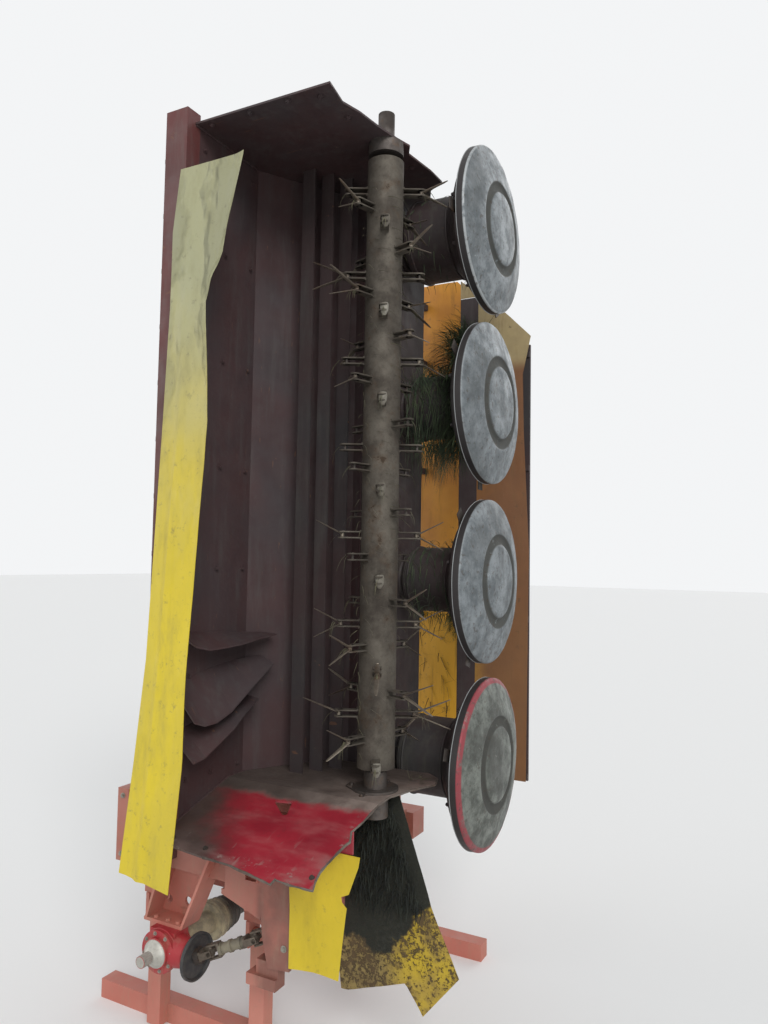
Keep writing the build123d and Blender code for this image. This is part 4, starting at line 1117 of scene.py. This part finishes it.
def make_drum_grass():
    # Wound round the necks: drum, count, length, how far it stands off, how steeply it hangs
    wound = ((2, 900, 0.24, 0.055, 0.30), (1, 260, 0.13, 0.030, 0.25), (3, 60, 0.08, 0.02, 0.2))
    for n, count, reach, off, sag in wound:
        bm = bmesh.new()
        for i in range(count):
            around, deep, _, long, high = shares(i)
            turn = tau * around
            out = Vector((0, sin(turn), cos(turn)))
            wrap = Vector((0.5 * wobble(i * 0.37, 1, n), cos(turn), -sin(turn)))
            spot = at(-0.340 + 0.210 * deep, 0, PITCH * n) + out * (NECK_R[n] + 0.003 + off * high ** 2)
            heading = wrap * (1 if i % 2 else -1) + out * (0.15 + 0.5 * abs(wobble(i * 0.21, 5, n)))
            add_caught_blade(bm, spot, heading, reach * (0.45 + 0.55 * long), 0.0035, sag, i * 0.77 + n)
        if n == 2:
            # A mat hangs from the skirt on the rear side, and above it stands up behind the dish's rim
            add_mat(bm, 2, hanging, 900, (-150, 148), (-0.135, 0.055), (0.15, 0.135), (0.10, 0.12),
                    0.0038, 0.22, 0.91)
            add_mat(bm, 2, standing, 620, (-95, 105), (-0.145, 0.090), (0.20, 0.115), (0.07, 0.09),
                    0.0036, 0.20, 1.17)
        piece(f"caught_grass_{n + 1}", bm, GRASS, f"drum_{n + 1}", smooth=False)
    # Paler strands in the mat on drum 3, and a fresh tuft on drum 2
    bm = bmesh.new()
    add_mat(bm, 2, straying, 260, (-130, 125), (-0.150, 0.085), (0.20, 0.125), (0.06, 0.09), 0.0030, 0.22, 1.31)
    piece("pale_strands", bm, FRESH, "drum_3", smooth=False)
    bm = bmesh.new()
    add_mat(bm, 1, tufted, 280, (-168, 40), (-0.122, 0.040), (0.150, 0.085), (0.04, 0.06), 0.0036, 0.18, 0.91)
    piece("fresh_tuft", bm, FRESH, "drum_2", smooth=False)


def make_rotor_straw():
    """Round the tube, and strung from the tines that are left."""
    bm = bmesh.new()
    for i in range(240):
        up, around, long, _, _ = shares(i)
        out = Vector((cos(tau * around), sin(tau * around), 0))
        spot = at(*ROTOR, TINE_LOW + TINE_STEP * (up * (TINE_ROWS - 1))) + out * 0.0745
        heading = Vector((-out.y, out.x, 0)) + out * 0.25
        add_blade(bm, spot, heading, 0.04 + 0.05 * long, 0.003, 0.15, i * 1.3)
    for row, half, hub, out, round_ in lugs():
        for i in range(2 if (row, half) in WORN else 6):
            seed = row * 5.3 + half * 0.1 + i * 1.9
            share = wobble(seed, 2, 8) * 0.5 + 0.5
            spot = hub + out * 0.055 * share + lift(0.030 * (share - 0.5))
            heading = out * 0.7 + round_ * wobble(seed, 7, 1) * 1.6 + lift(-0.5 * share)
            add_blade(bm, spot, heading, 0.045 + 0.045 * share, 0.0030, 0.30, seed)
    piece("rotor_straw", bm, STRAW, "rotor", smooth=False)


def make_loose_crop():
    """Packed on the canvas under the cutters, near black with painted shadow, with a few stalks on the wall and on
    the front canvas.
    """
    bm = bmesh.new()
    for i in range(620):
        down, across, _, long, _ = shares(i)
        z = -0.06 - 0.42 * down
        right = -0.230 + 0.151 * min(1.0, (-z - 0.032) / 0.421)
        x = -0.425 + (right + 0.395) * across
        clump = wobble(x * 9, z * 9, 4)
        heading = Vector((wobble(i * 0.37, 3, 3) * 3.0, -0.5 - clump, -0.35 + 1.5 * clump))
        add_blade(bm, at(x, -0.420, z), heading, 0.03 + 0.05 * long, 0.0060, 0.34, i * 0.53)
    piece("packed_crop", bm, PACKED, "mower", smooth=False)
    bm = bmesh.new()
    for i in range(34):
        spot = at(-0.235 + 0.09 * shares(i)[0], -0.370 + 0.13 * shares(i)[1], -0.0205)
        heading = Vector((wobble(i * 0.7, 0, 0) * 2 + 0.5, wobble(i * 0.7, 5, 0) * 2, 0.12))
        add_blade(bm, spot, heading, 0.05, 0.003, 0.03, i * 2.1)
    piece("stalks_on_wall", bm, STRAW, "mower", smooth=False)
    bm = bmesh.new()
    for i in range(30):
        across, up, _, long, _ = shares(i)
        heading = Vector((wobble(i * 0.7, 3, 0) * 2, 0, wobble(i * 0.9, 5, 0) * 2 - 0.3))
        spot = at(-0.620 + 0.19 * across, 0.604, 0.06 + 0.50 * up)
        add_blade(bm, spot, heading, 0.06 + 0.09 * long, 0.0042, 0.02, i * 1.7)
    piece("stalks_on_canvas", bm, PACKED, "front_guard", smooth=False)


make_drum_grass()
make_rotor_straw()
make_loose_crop()


# Floor, light and camera


def make_stage():
    floor = bpy.data.meshes.new("floor")
    bm = bmesh.new()
    bmesh.ops.create_grid(bm, x_segments=1, y_segments=1, size=60)
    bm.to_mesh(floor)
    bm.free()
    ground = placed("floor", floor)
    pale = bpy.data.materials.new("pale_floor")
    pale.use_nodes = True
    shader = pale.node_tree.nodes["Principled BSDF"]
    shader.inputs["Base Color"].default_value = (0.84, 0.84, 0.83, 1)
    shader.inputs["Roughness"].default_value = 0.9
    floor.materials.append(pale)

    world = bpy.data.worlds.new("studio")
    bpy.context.scene.world = world
    world.use_nodes = True
    nodes, links = world.node_tree.nodes, world.node_tree.links
    nodes.clear()
    output, path, most, blend = (
        nodes.new("ShaderNode" + kind) for kind in ("OutputWorld", "LightPath", "Math", "MixShader")
    )
    most.operation = "MAXIMUM"
    links.new(path.outputs["Is Camera Ray"], most.inputs[0])
    links.new(path.outputs["Is Glossy Ray"], most.inputs[1])
    links.new(most.outputs[0], blend.inputs["Fac"])
    # What lights the machine, and what the camera and reflections see
    for socket, colour, strength in ((1, (0.95, 0.97, 1.0, 1), 0.48), (2, (0.90, 0.91, 0.92, 1), 1.0)):
        shown = nodes.new("ShaderNodeBackground")
        shown.inputs["Color"].default_value, shown.inputs["Strength"].default_value = colour, strength
        links.new(shown.outputs[0], blend.inputs[socket])
    links.new(blend.outputs[0], output.inputs["Surface"])

    for name, place, target, power, angle in (
        ("key", (5.5, -6.0, 6.5), (0, 0, 1.6), 1.9, 28),
        ("fill", (-6.5, -4.5, 3.5), (0, 0, 1.6), 0.65, 40),
        ("back", (1.0, 6.5, 6.0), (0, 0, 2.0), 0.60, 40),
    ):
        lamp = bpy.data.lights.new(name, "SUN")
        lamp.energy, lamp.angle = power, radians(angle)
        holder = placed(name, lamp)
        holder.location = place
        holder.rotation_euler = (Vector(target) - Vector(place)).to_track_quat("-Z", "Y").to_euler()


def make_camera():
    """The photograph's viewpoint, found from the four dishes."""
    yaw, pitch, roll = radians(28.0), radians(3.46), radians(0.969)
    ahead = Vector((-sin(yaw) * cos(pitch), cos(yaw) * cos(pitch), sin(pitch)))
    right = Vector((cos(yaw), sin(yaw), 0))
    up = right.cross(ahead)
    right, up = cos(roll) * right + sin(roll) * up, cos(roll) * up - sin(roll) * right
    data = bpy.data.cameras.new("photo_view")
    data.sensor_width, data.lens = 36, 27.42
    camera = placed("photo_view", data)
    place = Matrix((right, up, -ahead)).transposed().to_4x4()
    place.translation = at(1.1562, -3.1582, 0.8477)
    camera.matrix_world = place
    bpy.context.scene.camera = camera


make_stage()
make_camera()
bpy.context.scene.view_settings.view_transform = "Standard"
